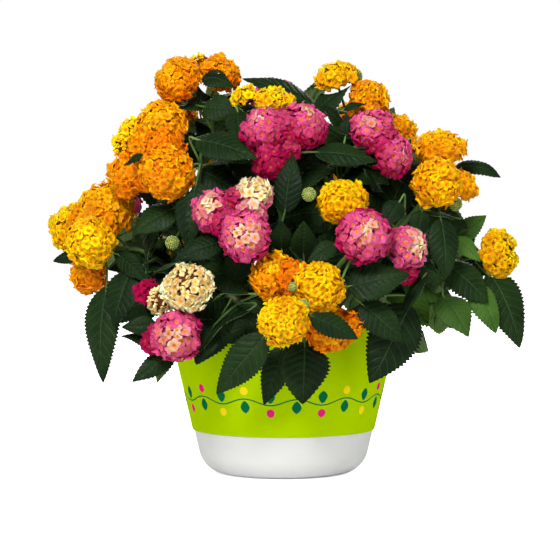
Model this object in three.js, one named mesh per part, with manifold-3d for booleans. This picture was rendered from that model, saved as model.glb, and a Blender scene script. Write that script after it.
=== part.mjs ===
// A lantana in flower, with the pot that it grows in. Millimetres, +Z up.
// The origin is the centre of the pot's underside. The plant's fullest side faces -Y.

import * as THREE from 'three';
import { mergeVertices } from 'three/addons/utils/BufferGeometryUtils.js';
import { ConvexGeometry } from 'three/addons/geometries/ConvexGeometry.js';
import Module from 'manifold-3d';

const wasm = await Module();
wasm.setup();

// Driving dimensions of the pot, its sleeve and its soil.
const POT_HEIGHT = 157;
const WRAP_BOTTOM = 44;
const WRAP_BOTTOM_RADIUS = 91;
const WRAP_TOP_RADIUS = 117;
const WRAP_THICKNESS = 1.2;
const POT_WALL = 2.4;
const POT_CORNER_RADIUS = 28;
const FLOOR_THICKNESS = 3;
const DRAIN_RADIUS = 5;
const DRAIN_CIRCLE = 38;
const DRAIN_COUNT = 5;
const DRAIN_SIDES = 8;
const SOIL_TOP = 140;
const SOIL_CROWN = 3;
const SOIL_LUMP = 2.5;
const LUMP_SIZE = [3.2, 3.7];
const HOLE_RADIUS = 5;
const HOLE_SIDES = 6;
const POT_SIDES = 28;
const SEAT_GAP = 0.3;
// Every stem's first route starts at this height, just clear of the bottom of its hole.
const STEM_FOOT = 122;
const HOLE_DEPTH = SOIL_TOP - STEM_FOOT + SEAT_GAP;

// Driving dimensions of the plant.
// Each kind of stem has a radius, the steps of its tube, and the shares of its length between
// which other pieces may grow from it.
const MAIN_STEM = { radius: 2.9, steps: 6, from: 0.3, to: 0.94 };
const SIDE_BRANCH = { radius: 2.1, steps: 3, from: 0.15, to: 0.94 };
const STALK = { radius: 1.7, steps: 3, from: 0.1, to: 0.7 };
const STALK_LEAD = 30;
const STALK_STRAIGHT = 14;
const UPRIGHT_LENGTH = 30;
const STEM_SIDES = 4;
const STALK_SIDES = 3;
const LINE_PITCH = 2;
const PETIOLE_RADIUS = 1.2;
const PETIOLE_LEAD = 20;
const HOOK_BELOW = 0.5;
const HOOK_LENGTH = 8;
const BLADE_RIB = 0.8;
const RIB_STATIONS = [0, 0.33, 0.7];
const TOOTH_DEPTH = 0.13;
const TOOTH_BACK = 0.15;
const NOTCH_BACK = 0.35;
const EDGE_DROP = 0.16;
const LARGE_LEAF_WIDTH = 43;
const TEETH_LARGE = 5;
const TEETH_SMALL = 3;
const HEAD_CLEARANCE = 2.6;
const BUSH_HEART = new THREE.Vector3(0, 0, 110);
const FACE_OUT = 120;
const FACE_SIDEWAYS = 0.3;
const FACE_UP = 0.6;
const BACK_FROM = 15;

// Flower heads: florets are larger than life, spread evenly over each dome.
const FLORETS_LARGE = 16;
const FLORETS_SMALL = 12;
const FLORETS_BUD = 8;
const BUD_RADIUS = 9.5;
const SMALL_HEAD_RADIUS = 15;
const FLORET_LOWEST = -0.42;
const FLORET_FIRST = 0.3;
const HEAD_FOOT = 0.56;
const FLORET_PIT = 0.76;
const UP = new THREE.Vector3(0, 0, 1);

const COLOURS = {
  'orange': 0xf29110,
  'gold': 0xfbb211,
  'yellow': 0xfdc914,
  'pink': 0xe0609c,
  'cream': 0xf3e7a4,
  'magenta': 0xc61e68,
  'leaf': 0x1f4423,
  'lime': 0xa6c900,
  'white': 0xf1f1ef,
  'soil': 0x3a2a1e,
};

// The leafy stems. A route is a row of points from the soil outwards, and the routes after the
// first are side branches. A leaf is: foot of the blade, tip, width, roll in degrees, arch.
// A bud is a small green cluster: centre, radius.
const STEMS = {
  'top_left': {
    'routes': [[[-22, 12, 122], [-40, 14, 220], [-66, 6, 320], [-74, -4, 362]]],
    'leaves': [
      [[-83, -22, 393], [-48, -30, 384], 28, 0, 7],
      [[-78, -18, 370], [-133, -32, 364], 30, 0, 4],
      [[-80, -34, 366], [-40, -46, 360], 30, 25, 3],
      [[-45, -55, 362], [-43, -84, 331], 28, 0, 4],
      [[-72, 0, 320], [-128, -6, 302], 34, 0, 5],
      [[-72, 6, 320], [-112, 0, 338], 34, 0, 4],
    ],
    'buds': [],
  },
  'upper_left': {
    'routes': [
      [[-44, -8, 122], [-70, -14, 210], [-100, -40, 275], [-116, -56, 312]],
      [[-84, -26, 245], [-86, -60, 262], [-82, -78, 288], [-80, -84, 322]],
    ],
    'leaves': [
      [[-84, -102, 334], [-25, -133, 315], 38, 0, 5],
      [[-84, -98, 294], [-92, -112, 230], 38, 0, 6],
      [[-105, -78, 268], [-146, -84, 242], 36, 0, 4],
      [[-98, -24, 262], [-150, -16, 288], 34, 0, 5],
      [[-82, -72, 304], [-40, -80, 278], 40, 0, 5],
      [[-78, -44, 246], [-62, -92, 214], 44, 0, 6],
    ],
    'buds': [[[-107, -116, 235], 7]],
  },
  'left': {
    'routes': [
      [[-62, 4, 122], [-92, 2, 185], [-140, -8, 222], [-168, -18, 226]],
      [[-128, -6, 214], [-140, -36, 208], [-146, -64, 204]],
    ],
    'leaves': [
      [[-196, -8, 220], [-230, -8, 212], 20, 0, 3],
      [[-173, -66, 190], [-177, -62, 95], 42, 0, 10],
      [[-162, -70, 222], [-131, -100, 197], 22, 0, 3],
      [[-148, -82, 208], [-165, -92, 152], 40, 0, 5],
      [[-116, -12, 198], [-130, -60, 158], 44, 0, 7],
      [[-112, -10, 204], [-134, -56, 204], 42, 0, 4],
      [[-100, 12, 190], [-176, 10, 148], 42, 0, 9],
    ],
    'buds': [],
  },
  'front_left': {
    'routes': [
      [[-26, -40, 122], [-30, -70, 190], [-38, -104, 232], [-42, -120, 246]],
      [[-36, -96, 224], [-20, -112, 240], [-4, -116, 248]],
    ],
    'leaves': [
      [[-58, -140, 237], [-104, -148, 219], 28, 0, 5],
      [[-2, -128, 228], [-3, -146, 258], 24, 0, 3],
      [[19, -128, 223], [19, -146, 257], 27, 0, 3],
      [[1, -132, 264], [9, -124, 320], 31, 0, 6],
      [[-34, -86, 206], [-88, -98, 198], 42, 0, 5],
    ],
    'buds': [],
  },
  'low_left': {
    'routes': [
      [[-50, -46, 122], [-60, -76, 182], [-84, -112, 186], [-96, -122, 172]],
      [[-60, -76, 182], [-48, -116, 182], [-42, -140, 178]],
    ],
    'leaves': [
      [[-121, -138, 157], [-155, -138, 155], 20, 0, 3],
      [[-122, -132, 139], [-156, -128, 146], 22, 60, 3],
      [[-104, -140, 132], [-144, -154, 104], 24, 0, 4],
      [[-99, -118, 217], [-126, -112, 204], 20, 60, 3],
      [[-32, -158, 188], [-68, -150, 181], 26, 70, 7],
      [[-32, -158, 173], [-76, -158, 136], 22, 65, 8],
      [[-66, -146, 158], [-84, -150, 121], 28, 0, 4],
      [[-54, -92, 182], [-98, -122, 164], 40, 0, 5],
      [[-46, -100, 176], [-34, -130, 146], 36, 0, 5],
    ],
    'buds': [],
  },
  'top': {
    'routes': [[[-4, -18, 122], [-6, -34, 210], [0, -58, 285], [2, -72, 312]]],
    'leaves': [
      [[30, -118, 322], [90, -118, 313], 30, 0, 4],
      [[-6, -52, 266], [-50, -90, 304], 44, 0, 5],
      [[2, -62, 292], [50, -84, 304], 42, 0, 5],
      [[-6, -40, 240], [-60, -30, 276], 34, 0, 5],
      [[2, -50, 296], [14, 2, 350], 34, 0, 5],
      [[-4, -52, 290], [-34, -6, 346], 34, 0, 5],
      [[-2, -56, 256], [56, -84, 262], 46, 0, 6],
    ],
    'buds': [[[24, -144, 282], 7]],
  },
  'top_right': {
    'routes': [[[24, 8, 122], [38, 2, 220], [66, -18, 310], [78, -34, 338]]],
    'leaves': [
      [[33, -8, 366], [-41, -12, 394], 38, 0, 5],
      [[30, -28, 360], [66, -32, 387], 30, 0, 3],
      [[59, -52, 364], [80, -58, 368], 13, 0, 2],
      [[60, -76, 336], [62, -70, 358], 14, 0, 2],
      [[60, -58, 344], [36, -66, 367], 22, 0, 3],
      [[70, -62, 338], [44, -84, 345], 14, 0, 2],
      [[62, -20, 300], [104, -54, 290], 38, 0, 6],
      [[66, -20, 322], [30, -24, 350], 36, 0, 5],
      [[72, -30, 322], [36, -64, 310], 40, 0, 5],
    ],
    'buds': [[[70, 2, 396], 9]],
  },
  'right': {
    'routes': [
      [[48, -6, 122], [84, -16, 205], [128, -40, 262], [146, -52, 284]],
      [[104, -28, 234], [112, -62, 250], [118, -88, 262]],
    ],
    'leaves': [
      [[170, -24, 307], [215, -28, 296], 25, 0, 7],
      [[166, -78, 258], [138, -92, 262], 18, 40, 2],
      [[152, -92, 258], [156, -98, 198], 34, 0, 6],
      [[134, -96, 266], [127, -104, 236], 22, 0, 3],
      [[112, -108, 275], [95, -118, 250], 24, 0, 3],
      [[94, -22, 220], [152, -54, 200], 40, 0, 7],
      [[142, -40, 264], [182, -46, 246], 34, 0, 4],
      [[100, -26, 254], [124, -40, 306], 40, 0, 6],
    ],
    'buds': [[[167, -80, 271], 7]],
  },
  'low_right': {
    'routes': [
      [[62, 6, 122], [98, 4, 178], [150, -8, 206], [176, -16, 212]],
      [[126, -4, 194], [150, -36, 200], [164, -56, 202]],
    ],
    'leaves': [
      [[170, -42, 236], [200, -40, 259], 24, 0, 3],
      [[168, -62, 238], [193, -62, 214], 22, 0, 3],
      [[160, -70, 212], [200, -72, 174], 42, 0, 4],
      [[203, -42, 203], [233, -44, 128], 50, 0, 8],
      [[186, -66, 192], [208, -66, 144], 34, 0, 5],
      [[155, -80, 182], [179, -100, 143], 40, 0, 5],
      [[112, 0, 184], [142, -56, 152], 40, 0, 7],
      [[106, 8, 180], [182, 20, 144], 42, 0, 9],
    ],
    'buds': [],
  },
  'front_right': {
    'routes': [
      [[26, -42, 122], [40, -72, 188], [62, -108, 222], [74, -122, 226]],
      [[46, -82, 198], [78, -116, 186], [92, -126, 184]],
    ],
    'leaves': [
      [[60, -162, 195], [120, -164, 207], 40, 0, 5],
      [[73, -152, 179], [114, -152, 142], 35, 0, 4],
      [[121, -122, 176], [82, -134, 101], 56, 0, 7],
      [[134, -128, 203], [115, -140, 166], 20, 55, 4],
      [[126, -126, 210], [155, -124, 198], 14, 50, 2],
      [[50, -138, 235], [22, -146, 217], 20, 0, 2],
      [[44, -80, 198], [102, -90, 226], 38, 0, 5],
      [[38, -78, 202], [50, -98, 250], 46, 0, 5],
    ],
    'buds': [],
  },
  'low_front': {
    'routes': [[[6, -58, 122], [8, -84, 182], [14, -118, 182], [16, -136, 168]]],
    'leaves': [
      [[-17, -166, 150], [-64, -152, 92], 38, 0, 8],
      [[1, -140, 138], [-19, -134, 80], 30, 0, 5],
      [[20, -146, 141], [18, -148, 82], 52, 0, 8],
      [[25, -196, 170], [70, -184, 147], 25, 0, 4],
      [[12, -96, 190], [54, -128, 184], 36, 0, 6],
      [[8, -88, 194], [14, -108, 238], 38, 0, 5],
    ],
    'buds': [],
  },
  'back_left': {
    'routes': [[[-34, 40, 122], [-58, 60, 200], [-92, 82, 262], [-104, 92, 288]]],
    'leaves': [
      [[-84, 100, 290], [-128, 128, 292], 30, 0, 4],
      [[-110, 60, 300], [-172, 48, 312], 34, 0, 5],
      [[-128, 96, 236], [-196, 108, 196], 38, 0, 7],
      [[-104, 120, 200], [-128, 168, 152], 40, 0, 8],
      [[-64, 110, 262], [-78, 168, 296], 34, 0, 5],
      [[-130, 40, 250], [-196, 40, 216], 38, 0, 7],
      [[-90, 70, 190], [-160, 90, 150], 42, 0, 9],
      [[-60, 96, 190], [-78, 150, 138], 40, 0, 8],
      [[-60, 60, 330], [-76, 52, 392], 30, 0, 4],
      [[-56, 58, 200], [-104, 28, 214], 42, 0, 6],
    ],
    'buds': [],
  },
  'back': {
    'routes': [[[0, 36, 122], [-2, 62, 210], [-6, 98, 280], [-8, 104, 310]]],
    'leaves': [
      [[-6, 120, 270], [-4, 172, 322], 34, 0, 5],
      [[2, 110, 230], [0, 186, 210], 40, 0, 7],
      [[-20, 96, 190], [-30, 160, 130], 42, 0, 9],
      [[24, 96, 190], [34, 158, 132], 40, 0, 8],
      [[10, 86, 330], [32, 128, 368], 30, 0, 4],
      [[-30, 110, 300], [-42, 158, 310], 28, 0, 4],
      [[20, 60, 350], [40, 40, 398], 28, 0, 4],
      [[-2, 64, 216], [-56, 70, 236], 42, 0, 6],
      [[2, 66, 222], [58, 74, 240], 42, 0, 6],
      [[-8, 88, 330], [-48, 40, 372], 34, 0, 5],
    ],
    'buds': [],
  },
  'back_right': {
    'routes': [[[36, 34, 122], [60, 58, 200], [88, 84, 262], [96, 92, 285]]],
    'leaves': [
      [[84, 110, 290], [60, 160, 322], 32, 0, 5],
      [[116, 60, 300], [172, 52, 330], 34, 0, 5],
      [[130, 100, 240], [196, 112, 206], 38, 0, 7],
      [[104, 112, 200], [132, 170, 156], 42, 0, 8],
      [[134, 50, 240], [200, 44, 220], 38, 0, 7],
      [[92, 66, 190], [164, 86, 146], 42, 0, 9],
      [[62, 98, 190], [84, 154, 138], 40, 0, 8],
      [[92, 56, 330], [112, 44, 366], 30, 0, 4],
      [[58, 56, 204], [108, 24, 220], 42, 0, 6],
    ],
    'buds': [],
  },
};

// The flower heads. A head is: colour, the stem that carries it, then one or more domes that have
// grown together. A dome is: centre, radius, height as a share of the radius, facing.
const HEADS = [
  ['orange', 'top_left', [[-104, -30, 391], 24, 0.86, [-5, -6, 6]]],
  ['orange', 'top_left', [[-65, 0, 397], 22, 0.9, [3, -2, 9]], [[-82, 8, 410], 12, 0.7, [0, 0, 1]]],
  ['yellow', 'top_left', [[-11, -45, 372], 22, 0.5, [0, -3, 9]],
    [[-38, -43, 376], 13, 0.8, [-2, -1, 5]]],
  ['orange', 'upper_left', [[-120, -65, 344], 28, 0.86, [-4, -8, 5]]],
  ['orange', 'upper_left', [[-113, -97, 302], 27, 0.95, [1, -9, 2]]],
  ['orange', 'upper_left', [[-152, -60, 298], 22, 0.9, [-6, -6, 1]],
    [[-153, -52, 327], 15, 1.1, [-5, -3, 5]]],
  ['gold', 'left', [[-175, -25, 263], 30, 0.9, [-2, -5, 8]]],
  ['yellow', 'left', [[-211, 10, 244], 25, 0.9, [-8, -3, 5]]],
  ['yellow', 'left', [[-188, -76, 233], 25, 0.86, [-2, -9, 3]]],
  ['orange', 'left', [[-195, -46, 198], 21, 0.86, [-6, -7, -1]]],
  ['pink', 'front_left', [[-66, -142, 266], 21, 0.95, [-3, -8, 5]]],
  ['cream', 'front_left', [[-28, -140, 281], 19, 0.9, [1, -6, 7]]],
  ['pink', 'front_left', [[-36, -168, 244], 25, 0.86, [0, -9, 2]]],
  ['pink', 'top', [[-17, -110, 342], 24, 0.9, [-3, -7, 6]], [[18, -98, 345], 25, 0.9, [3, -6, 7]],
    [[-12, -115, 314], 19, 0.85, [-1, -9, 1]]],
  ['pink', 'top_right', [[87, -80, 343], 21, 0.9, [-2, -7, 6]], [[105, -88, 319], 21, 0.9, [6, -7, 2]]],
  ['yellow', 'top_right', [[51, -20, 395], 22, 0.6, [-3, -2, 9]]],
  ['orange', 'top_right', [[84, -30, 372], 21, 0.86, [4, -7, 5]]],
  ['gold', 'top_right', [[118, -8, 342], 16, 0.86, [7, -2, 6]]],
  ['gold', 'right', [[154, -52, 325], 26, 0.62, [0, -3, 9]], [[126, -40, 322], 13, 0.86, [-3, -5, 6]]],
  ['gold', 'right', [[148, -97, 292], 25, 0.86, [0, -9, 2]]],
  ['orange', 'right', [[176, -50, 289], 15, 0.86, [7, -4, 2]]],
  ['yellow', 'front_right', [[56, -124, 274], 25, 0.76, [-1, -6, 7]]],
  ['pink', 'front_right', [[75, -170, 244], 26, 0.9, [1, -9, 2]]],
  ['pink', 'front_right', [[116, -138, 230], 21, 0.95, [7, -6, 2]],
    [[116, -133, 207], 11, 0.9, [5, -5, -3]]],
  ['yellow', 'low_right', [[211, -30, 221], 25, 0.75, [9, -4, 2]]],
  ['orange', 'low_front', [[-8, -150, 204], 24, 0.9, [-1, -9, 4]]],
  ['yellow', 'low_front', [[33, -178, 195], 25, 0.9, [2, -9, 3]]],
  ['yellow', 'low_front', [[-1, -206, 165], 24, 0.9, [-1, -9, 1]]],
  ['orange', 'low_front', [[43, -148, 155], 24, 0.9, [5, -8, -2]]],
  ['cream', 'low_left', [[-90, -165, 194], 25, 0.75, [-1, -7, 6]]],
  ['cream', 'low_left', [[-117, -140, 182], 14, 0.9, [-6, -6, 3]]],
  ['pink', 'low_left', [[-102, -168, 149], 25, 0.86, [-1, -9, 0]],
    [[-124, -154, 142], 11, 0.9, [-7, -4, -1]]],
  ['magenta', 'low_left', [[-131, -118, 188], 12, 0.9, [-7, -2, 4]]],
  ['gold', 'back_left', [[-110, 70, 352], 24, 0.86, [-5, 4, 8]]],
  ['pink', 'back_left', [[-165, 90, 262], 25, 0.86, [-8, 5, 4]]],
  ['orange', 'back_left', [[-120, 150, 230], 25, 0.86, [-5, 8, 3]]],
  ['yellow', 'back_left', [[-70, 120, 320], 23, 0.86, [-3, 7, 7]]],
  ['pink', 'back', [[-10, 95, 372], 25, 0.86, [0, 4, 9]]],
  ['orange', 'back', [[-35, 178, 250], 25, 0.86, [-2, 9, 3]]],
  ['yellow', 'back', [[35, 175, 285], 24, 0.86, [2, 8, 5]]],
  ['gold', 'back_right', [[75, 85, 350], 24, 0.86, [3, 5, 8]]],
  ['pink', 'back_right', [[105, 150, 245], 26, 0.86, [4, 8, 3]]],
  ['orange', 'back_right', [[150, 95, 285], 24, 0.86, [8, 4, 5]]],
];

const vector = (place) => new THREE.Vector3(...place);

// ---- Solids and joins --------------------------------------------------------------------

function solidOf(geometry) {
  const bare = geometry.clone();
  bare.deleteAttribute('normal');
  bare.deleteAttribute('uv');
  const merged = mergeVertices(bare, 1e-4);
  const vertProperties = new Float32Array(merged.attributes.position.array);
  const triVerts = new Uint32Array(merged.index.array);
  return new wasm.Manifold(new wasm.Mesh({ numProp: 3, vertProperties, triVerts }));
}

function geometryOf(solid) {
  const mesh = solid.getMesh();
  const geometry = new THREE.BufferGeometry();
  geometry.setAttribute('position', new THREE.BufferAttribute(mesh.vertProperties, 3));
  geometry.setIndex(new THREE.BufferAttribute(mesh.triVerts, 1));
  return geometry;
}

function fuse(geometries) {
  return geometries.map(solidOf).reduce((joined, solid) => joined.add(solid));
}

function facets(points, triangles) {
  const geometry = new THREE.BufferGeometry();
  const flat = points.flatMap((point) => [point.x, point.y, point.z]);
  geometry.setAttribute('position', new THREE.Float32BufferAttribute(flat, 3));
  geometry.setIndex(triangles.flat());
  return geometry;
}

// ---- Flower heads ------------------------------------------------------------------------

function domeFrame([centre, radius, height, facing]) {
  const axis = vector(facing).normalize();
  return { centre: vector(centre), radius, height: radius * height, axis };
}

const DOMES = HEADS.flatMap(([, , ...domes]) => domes.map(domeFrame));

// A point inside a dome, or closer to it than the clearance, moves straight out to the clearance.
function clearOfHeads(point, own = null) {
  const moved = point.clone();
  for (const dome of DOMES) {
    if (dome === own) continue;
    const offset = moved.clone().sub(dome.centre);
    const rise = offset.dot(dome.axis);
    const side = Math.sqrt(Math.max(offset.lengthSq() - rise * rise, 0));
    const share = Math.hypot(
      rise / (dome.height + HEAD_CLEARANCE), side / (dome.radius + HEAD_CLEARANCE));
    if (share < 1) moved.copy(dome.centre).addScaledVector(offset, 1 / share);
  }
  return moved;
}

// Floret centres are spread by the golden angle from the top of the dome to its rim.
function floretDirections(count) {
  const goldenAngle = Math.PI * (3 - Math.sqrt(5));
  return Array.from({ length: count }, (_, i) => {
    const rise = 1 - (1 - FLORET_LOWEST) * (i + FLORET_FIRST) / (count - 1 + 2 * FLORET_FIRST);
    const reach = Math.sqrt(1 - rise * rise);
    return new THREE.Vector3(reach * Math.cos(i * goldenAngle), reach * Math.sin(i * goldenAngle), rise);
  });
}

function dome(shape) {
  const smallCount = shape.radius < BUD_RADIUS ? FLORETS_BUD : FLORETS_SMALL;
  const count = shape.radius < SMALL_HEAD_RADIUS ? smallCount : FLORETS_LARGE;
  const foot = new THREE.Vector3(0, 0, -HEAD_FOOT);
  const hull = new ConvexGeometry([...floretDirections(count), foot]).attributes.position;
  const turn = new THREE.Quaternion().setFromUnitVectors(UP, shape.axis);
  const place = (p) => p.clone().multiply(new THREE.Vector3(shape.radius, shape.radius, shape.height))
    .applyQuaternion(turn).add(shape.centre);
  const corners = [];
  for (let i = 0; i < hull.count; i += 3) {
    const face = [0, 1, 2].map((k) => new THREE.Vector3().fromBufferAttribute(hull, i + k));
    const pit = face[0].clone().add(face[1]).add(face[2]).setLength(FLORET_PIT);
    for (const k of [0, 1, 2]) corners.push(place(face[k]), place(face[(k + 1) % 3]), place(pit));
  }
  return new THREE.BufferGeometry().setFromPoints(corners);
}

// ---- Stems and leaves --------------------------------------------------------------------

const section = (radius, sides) => new THREE.Shape(Array.from({ length: sides }, (_, k) => {
  const angle = (k + 0.5) * 2 * Math.PI / sides;
  return new THREE.Vector2(radius * Math.cos(angle), radius * Math.sin(angle));
}));

function tube(curve, radius, sides, steps) {
  const settings = { extrudePath: curve, steps, bevelEnabled: false };
  return new THREE.ExtrudeGeometry(section(radius, sides), settings);
}

// Points along the straight stretches that a tube of so many steps really has.
function linePoints(curve, steps, from, to) {
  const corners = curve.getSpacedPoints(steps);
  const points = [];
  for (let share = from; share <= to; share += LINE_PITCH / curve.getLength()) {
    const k = Math.min(Math.floor(share * steps), steps - 1);
    points.push(corners[k].clone().lerp(corners[k + 1], share * steps - k));
  }
  return points;
}

function nearestOn(points, target) {
  return points.reduce((best, point) => (
    point.distanceTo(target) < best.distanceTo(target) ? point : best));
}

// The upper face of a leaf looks out of the bush: upwards, and to the front or the back.
function bushNormal(middle, along) {
  const outward = new THREE.Vector3(
    FACE_SIDEWAYS * middle.x,
    middle.y < BACK_FROM ? -FACE_OUT : FACE_OUT,
    FACE_UP * (middle.z - BUSH_HEART.z),
  ).normalize();
  return outward.addScaledVector(along, -outward.dot(along)).normalize();
}

function leafFrame([footPlace, tipPlace, width, roll, arch]) {
  const foot = vector(footPlace);
  const tip = vector(tipPlace);
  const along = tip.clone().sub(foot).normalize();
  const middle = foot.clone().lerp(tip, 0.5);
  const normal = bushNormal(middle, along).applyAxisAngle(along, THREE.MathUtils.degToRad(roll));
  const side = along.clone().cross(normal);
  return { foot, tip, width, arch, along, normal, side, length: foot.distanceTo(tip) };
}

const halfWidthShare = (s) => Math.sin(Math.PI * s ** 0.68) ** 0.85;

// The place at a share s of the blade's length, and across from the rib, before any bending clear.
function bladePoint(leaf, s, across, lift) {
  const slope = 4 * leaf.arch * (1 - 2 * s) / leaf.length;
  const normal = leaf.normal.clone().addScaledVector(leaf.along, -slope).normalize();
  return leaf.foot.clone().lerp(leaf.tip, s)
    .addScaledVector(leaf.normal, 4 * leaf.arch * s * (1 - s))
    .addScaledVector(leaf.side, across)
    .addScaledVector(normal, lift - EDGE_DROP * Math.abs(across));
}

// A petiole that comes from in front of the blade's foot makes a hook behind it.
function petioleRings(leaf, root) {
  const straight = leaf.foot.clone().sub(root).normalize();
  const turnTo = (direction) => new THREE.Quaternion().setFromUnitVectors(leaf.along, direction);
  if (straight.dot(leaf.along) > HOOK_BELOW) return [{ centre: root, turn: turnTo(straight) }];
  const hook = leaf.foot.clone().addScaledVector(leaf.along, -HOOK_LENGTH);
  const start = hook.clone().sub(root).normalize();
  const between = start.clone().add(leaf.along).normalize();
  return [{ centre: root, turn: turnTo(start) }, { centre: hook, turn: turnTo(between) }];
}

// A leaf is four strips that run from its root along the petiole to the tip, between the rib's
// upper or lower line and the left or right edge. Both faces are split into triangles alike.
function leafBody(leaf, root, teeth) {
  const points = [];
  const add = (point) => points.push(clearOfHeads(point)) - 1;
  const lines = { top: [], right: [], bottom: [], left: [] };
  const join = (name, s, index) => lines[name].push({ s, index });
  petioleRings(leaf, root).forEach(({ centre, turn }, k) => {
    const corner = (axis, sign) => add(
      axis.clone().applyQuaternion(turn).multiplyScalar(sign * PETIOLE_RADIUS).add(centre));
    join('top', k - 2, corner(leaf.normal, 1));
    join('bottom', k - 2, corner(leaf.normal, -1));
    join('left', k - 2, corner(leaf.side, -1));
    join('right', k - 2, corner(leaf.side, 1));
  });
  for (const s of RIB_STATIONS) {
    join('top', s, add(bladePoint(leaf, s, 0, BLADE_RIB)));
    join('bottom', s, add(bladePoint(leaf, s, 0, -BLADE_RIB)));
  }
  for (const [name, sign] of [['left', -1], ['right', 1]]) {
    join(name, 0, add(bladePoint(leaf, 0, sign * PETIOLE_RADIUS, 0)));
    for (let k = 1; k < 2 * teeth; k += 1) {
      const isTooth = k % 2 === 1;
      const s = (k - (isTooth ? TOOTH_BACK : NOTCH_BACK)) / (2 * teeth);
      const half = 0.5 * leaf.width * halfWidthShare(s) * (isTooth ? 1 : 1 - TOOTH_DEPTH);
      join(name, s, add(bladePoint(leaf, s, sign * half, 0)));
    }
  }
  const tip = add(leaf.tip);
  for (const name of Object.keys(lines)) join(name, 1, tip);
  const triangles = [[lines.top[0].index, lines.bottom[0].index, lines.right[0].index],
    [lines.top[0].index, lines.left[0].index, lines.bottom[0].index]];
  const strip = (first, second) => {
    let [i, j] = [0, 0];
    while (i < first.length - 1 || j < second.length - 1) {
      const stepFirst = j === second.length - 1
        || (i < first.length - 1 && first[i + 1].s <= second[j + 1].s);
      const [a, b] = [first[i].index, second[j].index];
      const c = stepFirst ? first[i += 1].index : second[j += 1].index;
      if (a !== c && b !== c) triangles.push([b, a, c]);
    }
  };
  strip(lines.right, lines.top);
  strip(lines.top, lines.left);
  strip(lines.bottom, lines.right);
  strip(lines.left, lines.bottom);
  return facets(points, triangles);
}

function bodyVolume(geometry) {
  const position = geometry.attributes.position;
  const corner = (k) => new THREE.Vector3().fromBufferAttribute(position, geometry.index.getX(k));
  let volume = 0;
  for (let k = 0; k < geometry.index.count; k += 3) {
    volume += corner(k).dot(corner(k + 1).cross(corner(k + 2))) / 6;
  }
  return volume;
}

// The stalk of a head leaves the stem at its nearest point and meets the head from below.
function stalkCurve(shape, line) {
  const foot = shape.centre.clone().addScaledVector(shape.axis, -HEAD_FOOT * shape.height - SEAT_GAP);
  const reach = foot.clone().addScaledVector(shape.axis, -STALK_STRAIGHT);
  const root = nearestOn(line, foot.clone().addScaledVector(shape.axis, -STALK_LEAD));
  const middle = root.clone().lerp(reach, 0.5);
  return new THREE.CatmullRomCurve3([root, clearOfHeads(middle, shape), reach, foot]);
}

function leafyStem(name, { routes, leaves, buds }) {
  const bodies = [];
  const line = [];
  routes.forEach((route, k) => {
    const points = route.map(vector);
    if (k === 0) points.splice(1, 0, points[0].clone().addScaledVector(UP, UPRIGHT_LENGTH));
    const curve = new THREE.CatmullRomCurve3(points);
    const { radius, steps, from, to } = k === 0 ? MAIN_STEM : SIDE_BRANCH;
    bodies.push(tube(curve, radius, STEM_SIDES, steps));
    line.push(...linePoints(curve, steps, from, to));
  });
  const skeleton = [...line];
  const firstDomes = HEADS.filter(([, stem]) => stem === name)
    .map(([, , firstDome]) => DOMES.find((shape) => shape.centre.equals(vector(firstDome[0]))));
  for (const shape of firstDomes) {
    const curve = stalkCurve(shape, line);
    bodies.push(tube(curve, STALK.radius, STALK_SIDES, STALK.steps));
    skeleton.push(...linePoints(curve, STALK.steps, STALK.from, STALK.to));
  }
  for (const [centre, radius] of buds) {
    const shape = domeFrame([centre, radius, 1, vector(centre).sub(BUSH_HEART).toArray()]);
    bodies.push(dome(shape));
    const root = nearestOn(line, shape.centre);
    const middle = clearOfHeads(root.clone().lerp(shape.centre, 0.5));
    const curve = new THREE.CatmullRomCurve3([root, middle, shape.centre]);
    bodies.push(tube(curve, PETIOLE_RADIUS, STALK_SIDES, STALK.steps));
  }
  for (const row of leaves) {
    const leaf = leafFrame(row);
    const root = nearestOn(skeleton, leaf.foot.clone().addScaledVector(leaf.along, -PETIOLE_LEAD));
    const body = leafBody(leaf, root, leaf.width < LARGE_LEAF_WIDTH ? TEETH_SMALL : TEETH_LARGE);
    if (bodyVolume(body) < 0) throw new Error(`inside out leaf on ${name}`);
    bodies.push(body);
  }
  return geometryOf(fuse(bodies));
}

// ---- Pot, sleeve and soil ----------------------------------------------------------------

const WALL_SLOPE = (WRAP_TOP_RADIUS - WRAP_BOTTOM_RADIUS) / (POT_HEIGHT - WRAP_BOTTOM);
const wrapOuter = (z) => WRAP_BOTTOM_RADIUS + WALL_SLOPE * (z - WRAP_BOTTOM);
const potOuter = (z) => wrapOuter(z) - WRAP_THICKNESS - SEAT_GAP;
const lathed = (profile) => new THREE.LatheGeometry(
  profile.map(([radius, z]) => new THREE.Vector2(radius, z)), POT_SIDES).rotateX(Math.PI / 2);
const drillBit = (radius, length, sides) => (
  new THREE.CylinderGeometry(radius, radius, length, sides).rotateX(Math.PI / 2));

// The rounded lower edge of a wall that stands inset from the pot's outer face.
function cornerProfile(inset, bottom) {
  const radius = POT_CORNER_RADIUS - inset;
  const lean = Math.atan(WALL_SLOPE);
  const top = bottom + radius * (1 - Math.sin(lean));
  const middle = potOuter(top) - inset - radius * Math.cos(lean);
  return [0, 0.5, 1].map((share) => {
    const angle = share * (Math.PI / 2 - lean);
    return [middle + radius * Math.sin(angle), bottom + radius * (1 - Math.cos(angle))];
  });
}

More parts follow.
